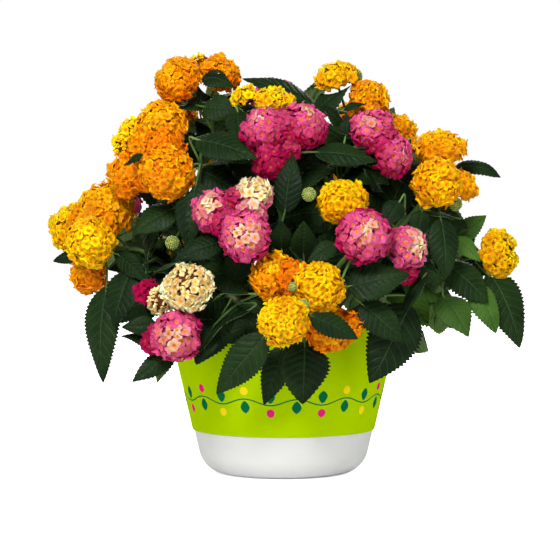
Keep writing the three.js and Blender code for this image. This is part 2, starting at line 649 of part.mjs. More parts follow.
function potBody() {
  const outside = [[0, 0], ...cornerProfile(0, 0), [potOuter(POT_HEIGHT), POT_HEIGHT]];
  const inside = [[0, FLOOR_THICKNESS], ...cornerProfile(POT_WALL, FLOOR_THICKNESS),
    [potOuter(POT_HEIGHT) - POT_WALL, POT_HEIGHT]];
  const shell = solidOf(lathed([...outside, ...inside.reverse()]));
  const drains = Array.from({ length: DRAIN_COUNT }, (_, k) => {
    const angle = 2 * Math.PI * k / DRAIN_COUNT;
    const drill = drillBit(DRAIN_RADIUS, 4 * FLOOR_THICKNESS, DRAIN_SIDES);
    return drill.translate(DRAIN_CIRCLE * Math.cos(angle), DRAIN_CIRCLE * Math.sin(angle), 0);
  });
  return geometryOf(drains.reduce((body, drill) => body.subtract(solidOf(drill)), shell));
}

function wrapBody() {
  return lathed([
    [wrapOuter(WRAP_BOTTOM), WRAP_BOTTOM],
    [wrapOuter(POT_HEIGHT), POT_HEIGHT],
    [wrapOuter(POT_HEIGHT) - WRAP_THICKNESS, POT_HEIGHT],
    [wrapOuter(WRAP_BOTTOM) - WRAP_THICKNESS, WRAP_BOTTOM],
    [wrapOuter(WRAP_BOTTOM), WRAP_BOTTOM],
  ]);
}

// Crumbs of soil are lumps on its top, and each stem stands in a plain hole.
function soilBody() {
  const inset = POT_WALL + SEAT_GAP;
  const bottom = FLOOR_THICKNESS + SEAT_GAP;
  const rim = potOuter(SOIL_TOP) - inset;
  const top = [1, 0.55, 0].map((share) => [rim * share, SOIL_TOP + SOIL_CROWN * (1 - share)]);
  const body = lathed([[0, bottom], ...cornerProfile(inset, bottom), ...top]);
  const position = body.attributes.position;
  for (let k = 0; k < position.count; k += 1) {
    const [x, y, z] = [position.getX(k), position.getY(k), position.getZ(k)];
    const lump = SOIL_LUMP * Math.sin(x / LUMP_SIZE[0]) * Math.cos(y / LUMP_SIZE[1]);
    if (z > SOIL_TOP + SEAT_GAP) position.setZ(k, z + lump);
  }
  const holes = Object.values(STEMS).map(({ routes: [[foot]] }) => {
    const drill = drillBit(HOLE_RADIUS, 2 * HOLE_DEPTH, HOLE_SIDES);
    return drill.translate(foot[0], foot[1], SOIL_TOP);
  });
  return geometryOf(holes.reduce((soil, drill) => soil.subtract(solidOf(drill)), solidOf(body)));
}

// ---- The object --------------------------------------------------------------------------

const plant = new THREE.Group();

function addPiece(name, geometry, colour, roughness = 0.6) {
  const material = new THREE.MeshStandardMaterial({ color: COLOURS[colour], roughness, metalness: 0 });
  const mesh = new THREE.Mesh(geometry, material);
  mesh.name = name;
  plant.add(mesh);
}

addPiece('pot', potBody(), 'white', 0.35);
addPiece('wrap', wrapBody(), 'lime', 0.4);
addPiece('soil', soilBody(), 'soil', 1);
for (const [name, stem] of Object.entries(STEMS)) {
  addPiece(`stem_${name}`, leafyStem(name, stem), 'leaf', 0.55);
}
HEADS.forEach(([colour, , ...shapes], k) => {
  const number = String(k + 1).padStart(2, '0');
  const bodies = shapes.map((row) => dome(domeFrame(row)));
  addPiece(`head_${number}_${colour}`, geometryOf(fuse(bodies)), colour, 0.7);
});

export default plant;
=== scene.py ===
"""A lantana in flower in its pot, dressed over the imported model. Metres, +Z up, front towards -Y."""
import math
import random
from collections import namedtuple

import bmesh
import bpy
from mathutils import Matrix, Quaternion, Vector, noise


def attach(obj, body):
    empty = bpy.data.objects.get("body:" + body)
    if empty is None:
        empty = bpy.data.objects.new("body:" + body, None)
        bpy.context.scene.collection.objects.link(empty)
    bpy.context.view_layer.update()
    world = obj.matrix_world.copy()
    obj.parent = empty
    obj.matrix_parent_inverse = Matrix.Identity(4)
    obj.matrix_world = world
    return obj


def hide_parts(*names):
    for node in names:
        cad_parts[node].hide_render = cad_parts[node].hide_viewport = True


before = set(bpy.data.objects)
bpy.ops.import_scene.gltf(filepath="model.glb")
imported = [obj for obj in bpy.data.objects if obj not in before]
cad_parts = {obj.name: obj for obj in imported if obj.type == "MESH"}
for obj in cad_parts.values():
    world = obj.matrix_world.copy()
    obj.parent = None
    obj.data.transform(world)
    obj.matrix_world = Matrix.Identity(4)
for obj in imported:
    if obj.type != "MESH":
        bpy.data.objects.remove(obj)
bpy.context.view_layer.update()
UP = Vector((0, 0, 1))
MM = 0.001
FULL_TURN = 2 * math.pi
LUCK = random.Random(11)


def placed(name, data):
    """A new object in the scene."""
    thing = bpy.data.objects.new(name, data)
    bpy.context.scene.collection.objects.link(thing)
    return thing


def aim(thing, spot, target):
    thing.location = spot
    thing.rotation_euler = (target - thing.location).to_track_quat("-Z", "Y").to_euler()


# ---- Camera ------------------------------------------------------------------------------------

VIEW_DISTANCE = 3.0
VIEW_RISE = 0.052
VIEW_TARGET = Vector((-0.0035, 0, 0.193))
VIEW_WIDTH = 0.56
SENSOR = 36

camera_data = bpy.data.cameras.new("camera")
camera_data.sensor_width = SENSOR
camera_data.lens = SENSOR * VIEW_DISTANCE / VIEW_WIDTH
camera = placed("camera", camera_data)
aim(camera, VIEW_TARGET + VIEW_DISTANCE * Vector((0, -math.sqrt(1 - VIEW_RISE ** 2), VIEW_RISE)),
    VIEW_TARGET)
bpy.context.scene.camera = camera
bpy.context.scene.view_settings.view_transform = "Standard"

# ---- The plant of the solids, with finer stalks, in millimetres --------------------------------

POT_HEIGHT = 157
WRAP_BOTTOM = 44
WRAP_BOTTOM_RADIUS = 91
WRAP_TOP_RADIUS = 117
WRAP_THICKNESS = 1.2
POT_WALL = 2.4
POT_CORNER_RADIUS = 28
FLOOR_THICKNESS = 3
DRAIN_RADIUS = 5
DRAIN_CIRCLE = 38
DRAIN_COUNT = 5
SOIL_TOP = 140
SOIL_CROWN = 3
SEAT_GAP = 0.3

# Each kind of stem has a radius and the shares of its length between which other pieces grow.
Kind = namedtuple("Kind", "radius start end")
MAIN_STEM = Kind(2.9, 0.3, 0.94)
SIDE_BRANCH = Kind(2.1, 0.15, 0.94)
STALK = Kind(1.4, 0.1, 0.7)
STALK_LEAD = 30
STALK_STRAIGHT = 14
UPRIGHT_LENGTH = 30
PETIOLE_RADIUS = 1.1
PETIOLE_LEAD = 20
HOOK_BELOW = 0.5
HOOK_LENGTH = 8
EDGE_DROP = 0.16
HEAD_FOOT = 0.56
FLORET_LOWEST = -0.42
BUSH_HEART = Vector((0, 0, 110))
FACE_OUT = 120
FACE_SIDEWAYS = 0.3
FACE_UP = 0.6
BACK_FROM = 15

# The leafy stems. A route is a row of points from the soil outwards, and the routes after the
# first are side branches. A leaf is: foot of the blade, tip, width, arch and, if it isn't 0, its
# roll in degrees. A bud is a small green cluster: centre, radius.
STEMS = {
    "top_left": {
        "routes": [[[-22, 12, 122], [-40, 14, 220], [-66, 6, 320], [-74, -4, 362]]],
        "leaves": [
            [[-83, -22, 393], [-48, -30, 384], 28, 7], [[-78, -18, 370], [-133, -32, 364], 30, 4],
            [[-80, -34, 366], [-40, -46, 360], 30, 3, 25], [[-45, -55, 362], [-43, -84, 331], 28, 4],
            [[-72, 0, 320], [-128, -6, 302], 34, 5], [[-72, 6, 320], [-112, 0, 338], 34, 4],
            [[-84, 6, 362], [-78, 2, 398], 26, 3], [[-70, 4, 372], [-40, 0, 384], 20, 2],
            [[-72, 14, 326], [-88, 10, 352], 20, 3], [[-66, 8, 312], [-20, 4, 296], 34, 4],
        ],
        "buds": [],
    },
    "upper_left": {
        "routes": [[[-44, -8, 122], [-70, -14, 210], [-100, -40, 275], [-116, -56, 312]],
                   [[-84, -26, 245], [-86, -60, 262], [-82, -78, 288], [-80, -84, 322]]],
        "leaves": [
            [[-84, -102, 334], [-25, -133, 315], 38, 5], [[-84, -98, 294], [-92, -112, 230], 38, 6],
            [[-105, -78, 268], [-146, -84, 242], 36, 4], [[-98, -24, 262], [-150, -16, 288], 34, 5],
            [[-82, -72, 304], [-40, -80, 278], 40, 5], [[-78, -44, 246], [-62, -92, 214], 44, 6],
            [[-130, -84, 321], [-152, -112, 309], 15, 2],
        ],
        "buds": [[[-107, -116, 235], 7]],
    },
    "left": {
        "routes": [[[-62, 4, 122], [-92, 2, 185], [-140, -8, 222], [-168, -18, 226]],
                   [[-128, -6, 214], [-140, -36, 208], [-146, -64, 204]]],
        "leaves": [
            [[-196, -8, 220], [-230, -8, 212], 20, 3], [[-173, -66, 190], [-177, -62, 95], 42, 10],
            [[-162, -70, 222], [-131, -100, 197], 22, 3], [[-148, -82, 208], [-165, -92, 152], 40, 5],
            [[-116, -12, 198], [-130, -60, 158], 44, 7], [[-112, -10, 204], [-134, -56, 204], 42, 4],
            [[-100, 12, 190], [-176, 10, 148], 42, 9], [[-112, 0, 214], [-176, -2, 204], 36, 3],
        ],
        "buds": [],
    },
    "front_left": {
        "routes": [[[-26, -40, 122], [-30, -70, 190], [-38, -104, 232], [-42, -120, 246]],
                   [[-36, -96, 224], [-20, -112, 240], [-4, -116, 248]]],
        "leaves": [
            [[-58, -140, 237], [-104, -148, 219], 28, 5], [[-2, -128, 228], [-3, -146, 258], 24, 3],
            [[19, -128, 223], [19, -146, 257], 27, 3], [[1, -132, 264], [9, -124, 320], 31, 6],
            [[-34, -86, 206], [-88, -98, 198], 42, 5],
        ],
        "buds": [],
    },
    "low_left": {
        "routes": [[[-50, -46, 122], [-60, -76, 182], [-84, -112, 186], [-96, -122, 172]],
                   [[-60, -76, 182], [-48, -116, 182], [-42, -140, 178]]],
        "leaves": [
            [[-121, -138, 157], [-155, -138, 155], 20, 3],
            [[-122, -132, 139], [-156, -128, 146], 22, 3, 60],
            [[-104, -140, 132], [-144, -154, 104], 24, 4],
            [[-99, -118, 217], [-126, -112, 204], 20, 3, 60],
            [[-32, -158, 188], [-68, -150, 181], 26, 7, 70],
            [[-32, -158, 173], [-76, -158, 136], 22, 8, 65],
            [[-66, -146, 158], [-84, -150, 121], 28, 4], [[-54, -92, 182], [-98, -122, 164], 40, 5],
            [[-46, -100, 176], [-34, -130, 146], 36, 5], [[-58, -112, 168], [-84, -124, 118], 42, 5],
        ],
        "buds": [],
    },
    "top": {
        "routes": [[[-4, -18, 122], [-6, -34, 210], [0, -58, 285], [2, -72, 312]]],
        "leaves": [
            [[30, -118, 322], [90, -118, 313], 30, 4], [[-6, -52, 266], [-50, -90, 304], 44, 5],
            [[2, -62, 292], [50, -84, 304], 42, 5], [[-6, -40, 240], [-60, -30, 276], 34, 5],
            [[2, -50, 296], [14, 2, 350], 34, 5], [[-4, -52, 290], [-34, -6, 346], 34, 5],
            [[-2, -56, 256], [56, -84, 262], 46, 6], [[20, 10, 322], [44, 8, 284], 36, 4],
        ],
        "buds": [[[24, -144, 282], 7]],
    },
    "top_right": {
        "routes": [[[24, 8, 122], [38, 2, 220], [66, -18, 310], [78, -34, 338]]],
        "leaves": [
            [[33, -8, 366], [-41, -12, 394], 38, 5], [[30, -28, 360], [66, -32, 387], 30, 3],
            [[59, -52, 364], [80, -58, 368], 13, 2], [[60, -76, 336], [62, -70, 358], 14, 2],
            [[60, -58, 344], [36, -66, 367], 22, 3], [[70, -62, 338], [44, -84, 345], 14, 2],
            [[62, -20, 300], [104, -54, 290], 38, 6], [[66, -20, 322], [30, -24, 350], 36, 5],
            [[72, -30, 322], [36, -64, 310], 40, 5], [[50, 6, 300], [98, 2, 314], 34, 4],
        ],
        "buds": [[[70, 2, 396], 9]],
    },
    "right": {
        "routes": [[[48, -6, 122], [84, -16, 205], [128, -40, 262], [146, -52, 284]],
                   [[104, -28, 234], [112, -62, 250], [118, -88, 262]]],
        "leaves": [
            [[170, -24, 307], [215, -28, 296], 25, 7], [[166, -78, 258], [138, -92, 262], 18, 2, 40],
            [[152, -92, 258], [156, -98, 198], 34, 6], [[134, -96, 266], [127, -104, 236], 22, 3],
            [[112, -108, 275], [95, -118, 250], 24, 3], [[94, -22, 220], [152, -54, 200], 40, 7],
            [[142, -40, 264], [182, -46, 246], 34, 4], [[100, -26, 254], [124, -40, 306], 40, 6],
            [[112, -8, 262], [144, -12, 278], 26, 3], [[128, -10, 226], [162, -14, 196], 30, 4],
        ],
        "buds": [[[167, -80, 271], 7]],
    },
    "low_right": {
        "routes": [[[62, 6, 122], [98, 4, 178], [150, -8, 206], [176, -16, 212]],
                   [[126, -4, 194], [150, -36, 200], [164, -56, 202]]],
        "leaves": [
            [[170, -42, 236], [200, -40, 259], 24, 3], [[168, -62, 238], [193, -62, 214], 22, 3],
            [[160, -70, 212], [200, -72, 174], 42, 4], [[203, -42, 203], [233, -44, 128], 50, 8],
            [[186, -66, 192], [208, -66, 144], 34, 5], [[155, -80, 182], [179, -100, 143], 40, 5],
            [[112, 0, 184], [142, -56, 152], 40, 7], [[106, 8, 180], [182, 20, 144], 42, 9],
            [[118, -20, 196], [168, -24, 176], 38, 4], [[176, -10, 216], [212, -14, 198], 26, 3],
            [[178, -4, 224], [190, -10, 248], 18, 2],
        ],
        "buds": [],
    },
    "front_right": {
        "routes": [[[26, -42, 122], [40, -72, 188], [62, -108, 222], [74, -122, 226]],
                   [[46, -82, 198], [78, -116, 186], [92, -126, 184]]],
        "leaves": [
            [[60, -162, 195], [120, -164, 207], 40, 5], [[73, -152, 179], [114, -152, 142], 35, 4],
            [[121, -122, 176], [82, -134, 101], 56, 7], [[134, -128, 203], [115, -140, 166], 20, 4, 55],
            [[126, -126, 210], [155, -124, 198], 14, 2, 50], [[50, -138, 235], [22, -146, 217], 20, 2],
            [[44, -80, 198], [102, -90, 226], 38, 5], [[38, -78, 202], [50, -98, 250], 46, 5],
        ],
        "buds": [],
    },
    "low_front": {
        "routes": [[[6, -58, 122], [8, -84, 182], [14, -118, 182], [16, -136, 168]]],
        "leaves": [
            [[-17, -166, 150], [-64, -152, 92], 38, 8], [[1, -140, 138], [-19, -134, 80], 30, 5],
            [[20, -146, 141], [18, -148, 82], 52, 8], [[25, -196, 170], [70, -184, 147], 25, 4],
            [[12, -96, 190], [54, -128, 184], 36, 6], [[8, -88, 194], [14, -108, 238], 38, 5],
            [[-8, -116, 178], [-52, -126, 138], 40, 5], [[12, -122, 160], [36, -136, 116], 38, 4],
        ],
        "buds": [[[18, -199, 180], 6], [[9, -186, 196], 5]],
    },
    "back_left": {
        "routes": [[[-34, 40, 122], [-58, 60, 200], [-92, 82, 262], [-104, 92, 288]]],
        "leaves": [
            [[-84, 100, 290], [-128, 128, 292], 30, 4], [[-110, 60, 300], [-172, 48, 312], 34, 5],
            [[-128, 96, 236], [-196, 108, 196], 38, 7], [[-104, 120, 200], [-128, 168, 152], 40, 8],
            [[-64, 110, 262], [-78, 168, 296], 34, 5], [[-130, 40, 250], [-196, 40, 216], 38, 7],
            [[-90, 70, 190], [-160, 90, 150], 42, 9], [[-60, 96, 190], [-78, 150, 138], 40, 8],
            [[-60, 60, 330], [-76, 52, 392], 30, 4], [[-56, 58, 200], [-104, 28, 214], 42, 6],
        ],
        "buds": [],
    },
    "back": {
        "routes": [[[0, 36, 122], [-2, 62, 210], [-6, 98, 280], [-8, 104, 310]]],
        "leaves": [
            [[-6, 120, 270], [-4, 172, 322], 34, 5], [[2, 110, 230], [0, 186, 210], 40, 7],
            [[-20, 96, 190], [-30, 160, 130], 42, 9], [[24, 96, 190], [34, 158, 132], 40, 8],
            [[10, 86, 330], [32, 128, 368], 30, 4], [[-30, 110, 300], [-42, 158, 310], 28, 4],
            [[20, 60, 350], [40, 40, 398], 28, 4], [[-2, 64, 216], [-56, 70, 236], 42, 6],
            [[2, 66, 222], [58, 74, 240], 42, 6], [[-8, 88, 330], [-48, 40, 372], 34, 5],
        ],
        "buds": [],
    },
    "back_right": {
        "routes": [[[36, 34, 122], [60, 58, 200], [88, 84, 262], [96, 92, 285]]],
        "leaves": [
            [[84, 110, 290], [60, 160, 322], 32, 5], [[116, 60, 300], [172, 52, 330], 34, 5],
            [[130, 100, 240], [196, 112, 206], 38, 7], [[104, 112, 200], [132, 170, 156], 42, 8],
            [[134, 50, 240], [200, 44, 220], 38, 7], [[92, 66, 190], [164, 86, 146], 42, 9],
            [[62, 98, 190], [84, 154, 138], 40, 8], [[92, 56, 330], [112, 44, 366], 30, 4],
            [[58, 56, 204], [108, 24, 220], 42, 6],
        ],
        "buds": [],
    },
}

# The flower heads: colour, the stem that each stands on, and its domes. A dome is: centre, radius,
# height as a share of the radius, the direction that it faces and, if they aren't OPEN_AGES, the
# ages of its middle and of its rim, where 0 is in bud and 1 is about to drop.
OPEN_AGES = (0.2, 0.9)
HEADS = [
    ["orange", "top_left", [[-104, -30, 391], 24, 0.86, [-5, -6, 6], 0.35, 0.95]],
    ["orange", "top_left", [[-65, 0, 397], 22, 0.9, [3, -2, 9], 0.4, 0.95],
     [[-82, 8, 410], 12, 0.7, [0, 0, 1], -0.4, 0.1]],
    ["yellow", "top_left", [[-11, -45, 372], 22, 0.5, [0, -3, 9], 0.0, 0.5],
     [[-38, -43, 376], 13, 0.8, [-2, -1, 5], -0.1, 0.3]],
    ["orange", "upper_left", [[-120, -65, 344], 28, 0.86, [-4, -8, 5], 0.15, 0.75]],
    ["orange", "upper_left", [[-113, -97, 302], 27, 0.95, [1, -9, 2], 0.4, 0.85]],
    ["orange", "upper_left", [[-152, -60, 298], 22, 0.9, [-6, -6, 1], 0.5, 1.0],
     [[-153, -52, 327], 15, 1.1, [-5, -3, 5], -0.4, 0.0]],
    ["gold", "left", [[-175, -25, 263], 30, 0.9, [-2, -5, 8], 0.2, 0.75]],
    ["yellow", "left", [[-211, 10, 244], 25, 0.9, [-8, -3, 5], 0.05, 0.6]],
    ["yellow", "left", [[-188, -76, 233], 25, 0.86, [-2, -9, 3], 0.07, 0.6]],
    ["orange", "left", [[-191, -46, 202], 20, 0.86, [-6, -7, -1], 0.5, 1.0]],
    ["pink", "front_left", [[-66, -142, 266], 21, 0.95, [-3, -8, 5], 0.08, 0.95]],
    ["cream", "front_left", [[-28, -140, 281], 19, 0.9, [1, -6, 7], 0.2, 1.05]],
    ["pink", "front_left", [[-36, -168, 244], 25, 0.86, [0, -9, 2], 0.1, 1.0]],
    ["pink", "top", [[-17, -110, 342], 24, 0.9, [-3, -7, 6], 0.25, 1.3],
     [[18, -98, 345], 25, 0.9, [3, -6, 7], 0.2, 1.3],
     [[-12, -115, 314], 19, 0.85, [-1, -9, 1], 0.9, 1.1]],
    ["pink", "top_right", [[87, -80, 343], 21, 0.9, [-2, -7, 6], 0.18, 1.1],
     [[105, -88, 319], 21, 0.9, [6, -7, 2], 0.24, 1.2]],
    ["yellow", "top_right", [[51, -20, 395], 22, 0.6, [-3, -2, 9], 0.05, 0.8]],
    ["orange", "top_right", [[84, -30, 372], 21, 0.86, [4, -7, 5]]],
    ["gold", "top_right", [[118, -8, 342], 16, 0.86, [7, -2, 6]]],
    ["gold", "right", [[154, -52, 325], 26, 0.62, [0, -3, 9]], [[126, -40, 322], 13, 0.86, [-3, -5, 6]]],
    ["gold", "right", [[148, -97, 292], 25, 0.86, [0, -9, 2], 0.12, 0.8]],
    ["orange", "right", [[176, -50, 289], 15, 0.86, [7, -4, 2]]],
    ["yellow", "front_right", [[56, -124, 274], 25, 0.76, [-1, -6, 7], 0.12, 0.75]],
    ["pink", "front_right", [[75, -170, 244], 26, 0.9, [1, -9, 2], 0.15, 1.15]],
    ["pink", "front_right", [[116, -138, 230], 21, 0.95, [7, -6, 2], 0.03, 0.85],
     [[116, -133, 207], 11, 0.9, [5, -5, -3], 0.9, 1.0]],
    ["yellow", "low_right", [[211, -30, 221], 25, 0.75, [9, -4, 2], 0.05, 0.55]],
    ["orange", "low_front", [[-8, -150, 204], 24, 0.9, [-1, -9, 4]]],
    ["yellow", "low_front", [[33, -178, 195], 25, 0.9, [2, -9, 3], 0.1, 0.75]],
    ["yellow", "low_front", [[-1, -206, 165], 24, 0.9, [-1, -9, 1], 0.08, 0.6]],
    ["orange", "low_front", [[43, -148, 155], 24, 0.9, [5, -8, -2], 0.5, 1.0]],
    ["cream", "low_left", [[-90, -165, 194], 25, 0.75, [-1, -7, 6], -0.1, 0.5]],
    ["cream", "low_left", [[-117, -140, 182], 14, 0.9, [-6, -6, 3], -0.8, 0.3]],
    ["pink", "low_left", [[-102, -168, 149], 25, 0.86, [-1, -9, 0], 0.16, 0.95],
     [[-124, -154, 142], 11, 0.9, [-7, -4, -1], 0.95, 1.0]],
    ["magenta", "low_left", [[-131, -118, 188], 12, 0.9, [-7, -2, 4], 0.9, 1.0]],
    ["gold", "back_left", [[-110, 70, 352], 24, 0.86, [-5, 4, 8]]],
    ["pink", "back_left", [[-165, 90, 262], 25, 0.86, [-8, 5, 4]]],
    ["orange", "back_left", [[-120, 150, 230], 25, 0.86, [-5, 8, 3]]],
    ["yellow", "back_left", [[-70, 120, 320], 23, 0.86, [-3, 7, 7]]],
    ["pink", "back", [[-10, 95, 372], 25, 0.86, [0, 4, 9]]],
    ["orange", "back", [[-35, 178, 250], 25, 0.86, [-2, 9, 3]]],
    ["yellow", "back", [[35, 175, 285], 24, 0.86, [2, 8, 5]]],
    ["gold", "back_right", [[75, 85, 350], 24, 0.86, [3, 5, 8]]],
    ["pink", "back_right", [[105, 150, 245], 26, 0.86, [4, 8, 3]]],
    ["orange", "back_right", [[150, 95, 285], 24, 0.86, [8, 4, 5]]],
]

# ---- Frames of heads and leaves, in millimetres ------------------------------------------------

Dome = namedtuple("Dome", "centre radius height axis ages")
Leaf = namedtuple("Leaf", "foot tip width arch along normal side length")


def dome_frame(centre, radius, height, facing, *ages):
    return Dome(Vector(centre), radius, radius * height, Vector(facing).normalized(),
                ages or OPEN_AGES)


HEAD_CLEARANCE = 2.2
LEAST_SHARE = 0.05
HEAD_DOMES = [[dome_frame(*row) for row in rows] for _, _, *rows in HEADS]
DOMES = [dome for domes in HEAD_DOMES for dome in domes]


def share_of_dome(dome, point):
    """How far out a point lies in a dome: 1 is on the dome grown by the clearance."""
    offset = point - dome.centre
    rise = offset.dot(dome.axis)
    side = math.sqrt(max(offset.length_squared - rise * rise, 0))
    return math.hypot(rise / (dome.height + HEAD_CLEARANCE), side / (dome.radius + HEAD_CLEARANCE))


def clear_of_heads(point, own=None, near=DOMES):
    """A point inside a dome moves straight out of it."""
    moved = Vector(point)
    for dome in near:
        share = share_of_dome(dome, moved)
        if share < 1 and dome is not own:
            moved = dome.centre + (moved - dome.centre) / max(share, LEAST_SHARE)
    return moved


def leaf_frame(foot, tip, width, arch, roll=0, outward=None):
    """The upper face of a leaf looks out of the bush: upwards, and to the front or the back."""
    foot, tip = Vector(foot), Vector(tip)
    along = (tip - foot).normalized()
    middle = (foot + tip) / 2
    if outward is None:
        outward = Vector((FACE_SIDEWAYS * middle.x,
                          -FACE_OUT if middle.y < BACK_FROM else FACE_OUT,
                          FACE_UP * (middle.z - BUSH_HEART.z))).normalized()
    normal = (outward - along * outward.dot(along)).normalized()
    normal = Matrix.Rotation(math.radians(roll), 3, along) @ normal
    return Leaf(foot, tip, width, arch, along, normal, along.cross(normal), (tip - foot).length)


def half_width_share(s):
    return math.sin(math.pi * min(max(s, 0), 1) ** 0.68) ** 0.85


def blade_point(leaf, s, across, lift):
    slope = 4 * leaf.arch * (1 - 2 * s) / leaf.length
    normal = (leaf.normal - leaf.along * slope).normalized()
    return (leaf.foot.lerp(leaf.tip, s) + leaf.normal * (4 * leaf.arch * s * (1 - s))
            + leaf.side * across + normal * (lift - EDGE_DROP * abs(across)))


def smooth_line(points, steps):
    """Points on a centripetal Catmull-Rom curve, so many steps for each stretch."""
    line = []
    ends = [2 * points[0] - points[1], *points, 2 * points[-1] - points[-2]]
    for a, b, c, d in zip(ends, ends[1:], ends[2:], ends[3:]):
        gaps = [max((q - p).length, 1e-6) ** 0.5 for p, q in ((a, b), (b, c), (c, d))]
        start = ((b - a) / gaps[0] - (c - a) / (gaps[0] + gaps[1]) + (c - b) / gaps[1]) * gaps[1]
        end = ((c - b) / gaps[1] - (d - b) / (gaps[1] + gaps[2]) + (d - c) / gaps[2]) * gaps[1]
        for k in range(steps):
            u = k / steps
            line.append(b + start * u + (3 * (c - b) - 2 * start - end) * u ** 2
                        + (2 * (b - c) + start + end) * u ** 3)
    return [*line, points[-1].copy()]


def part_of(line, start, end):
    """The points of a line between two shares of its length."""
    steps = [0]
    for p, q in zip(line, line[1:]):
        steps.append(steps[-1] + (q - p).length)
    return [p for p, step in zip(line, steps) if start <= step / steps[-1] <= end]


def nearest_on(points, target):
    return min(points, key=lambda point: (point - target).length)


def times(vector, size):
    return Vector([a * b for a, b in zip(vector, size)])


def shares(vector, size):
    return Vector([a / b for a, b in zip(vector, size)])


def spread_directions(count, lowest, luck=0.0):
    """Directions over a dome by the golden angle, from its top down to the lowest rise."""
    golden = math.pi * (3 - math.sqrt(5))
    directions = []
    for k in range(count):
        rise = 1 - (1 - lowest) * (k + 0.3) / (count - 0.4)
        rise = min(1, max(-1, rise + LUCK.uniform(-luck, luck) / 2))
        angle = k * golden + LUCK.uniform(-luck, luck)
        reach = math.sqrt(1 - rise * rise)
        directions.append(Vector((reach * math.cos(angle), reach * math.sin(angle), rise)))
    return directions


# ---- Making meshes ---------------------------------------------------------------------------

BLADE_SLOT, STEM_SLOT, BUD_SLOT = range(3)


def as_mesh(bm, name="part"):
    mesh = bpy.data.meshes.new(name)
    bm.to_mesh(mesh)
    bm.free()
    return mesh


def finished_mesh(bm, name):
    """The bmesh becomes a mesh, with its faces smooth and its size turned to metres."""
    for face in bm.faces:
        face.smooth = True
    bmesh.ops.scale(bm, vec=(MM, MM, MM), verts=bm.verts)
    return as_mesh(bm, name)


def joined(parts):
    """One bmesh of all the part meshes, which are removed."""
    bm = bmesh.new()
    for mesh in parts:
        bm.from_mesh(mesh)
        bpy.data.meshes.remove(mesh)
    return bm


def turned_out(bm):
    """Turns a closed body that came out inside out."""
    bmesh.ops.recalc_face_normals(bm, faces=bm.faces)
    if bm.calc_volume(signed=True) < 0:
        bmesh.ops.reverse_faces(bm, faces=bm.faces)


def only(items, kind):
    return [item for item in items if isinstance(item, kind)]


def grown_ring(bm, edges):
    """The points and edges of a new ring that grows out of an open rim."""
    grown = bmesh.ops.extrude_edge_only(bm, edges=edges)["geom"]
    return only(grown, bmesh.types.BMVert), only(grown, bmesh.types.BMEdge)


def added_mesh(bm, mesh):
    """Adds a mesh and gives its points."""
    first = len(bm.verts)
    bm.from_mesh(mesh)
    bm.verts.ensure_lookup_table()
    return bm.verts[first:]


def paint(bm, slot, tone_of):
    """Gives every face a material slot, and every corner its tone."""
    tone = bm.loops.layers.float_color.new("tone")
    for face in bm.faces:
        face.material_index = slot
        for loop in face.loops:
            loop[tone] = tone_of(loop)


def piece(bm, name, materials, slot, *nodes):
    mesh = finished_mesh(bm, name)
    for material in materials:
        mesh.materials.append(material)
    thing = placed(name, mesh)
    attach(thing, "root")
    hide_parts(*nodes)
    return thing


def ring_seats(line, radii):
    """A place, turn and size for the ring at each point of a tube's line."""
    headings = [(q - p).normalized() for p, q in zip(line, line[1:])]
    headings.append(headings[-1])
    turn = UP.rotation_difference(headings[0])
    seats = []
    for k, (point, radius) in enumerate(zip(line, radii)):
        if k:
            middle = (headings[k - 1] + headings[k]).normalized()
            turn = (turn @ UP).rotation_difference(middle) @ turn
        seats.append(Matrix.LocRotScale(point, turn, Vector((radius, radius, radius))))
    return seats


def tube(line, radii, sides=6, corner=1.0, woody=0.0):
    """A closed tube along a line. A corner under 1 draws every other side in, for a square stem."""
    bm = bmesh.new()
    seats = ring_seats(line, radii)
    ring = bmesh.ops.create_circle(bm, segments=sides, radius=1)["verts"]
    for vert in ring[1::2]:
        vert.co *= corner
    bmesh.ops.transform(bm, matrix=seats[0], verts=ring)
    first = edges = list(bm.edges)
    for before, after in zip(seats, seats[1:]):
        verts, edges = grown_ring(bm, edges)
        bmesh.ops.transform(bm, matrix=after @ before.inverted(), verts=verts)
    for rim in (first, edges):
        bmesh.ops.contextual_create(bm, geom=rim)
    bmesh.ops.recalc_face_normals(bm, faces=bm.faces)
    tone = (woody, LUCK.random(), 0, 1)
    paint(bm, STEM_SLOT, lambda _: tone)
    return as_mesh(bm)


def taper(line, start, end, flare=1.0):
    count = len(line) - 1
    return [(start + (end - start) * k / count) * (flare if k == count else 1)
            for k in range(count + 1)]


# The short bristles on stems and stalks.
HAIR_LENGTH = 1.4
HAIR_RADIUS = 0.14
HAIR_SPACING = 1.1
HAIR_ROOT = 0.7
HAIR_LEAN = 0.7
HAIR_TONE = (0, 0.9, 0, 1)


def stem_hairs(line, radii):
    """Bristles that lean towards the stem's tip, rooted just inside its skin."""
    template = bmesh.new()
    bmesh.ops.create_cone(template, cap_ends=True, segments=3, radius1=HAIR_RADIUS,
                          radius2=HAIR_RADIUS / 8, depth=HAIR_LENGTH)
    hair = as_mesh(template)
    bm = bmesh.new()
    for start, end, radius in zip(line, line[1:], radii):
        heading = (end - start).normalized()
        aside = heading.orthogonal().normalized()
        for _ in range(round((end - start).length / HAIR_SPACING)):
            out = Quaternion(heading, LUCK.uniform(0, FULL_TURN)) @ aside
            lean = (out + heading * LUCK.uniform(0, HAIR_LEAN)).normalized()
            place = start.lerp(end, LUCK.random()) + out * radius * HAIR_ROOT + lean * HAIR_LENGTH / 2
            bmesh.ops.transform(bm, verts=added_mesh(bm, hair), matrix=Matrix.LocRotScale(
                place, UP.rotation_difference(lean), None))
    bpy.data.meshes.remove(hair)
    paint(bm, STEM_SLOT, lambda _: HAIR_TONE)
    return as_mesh(bm)


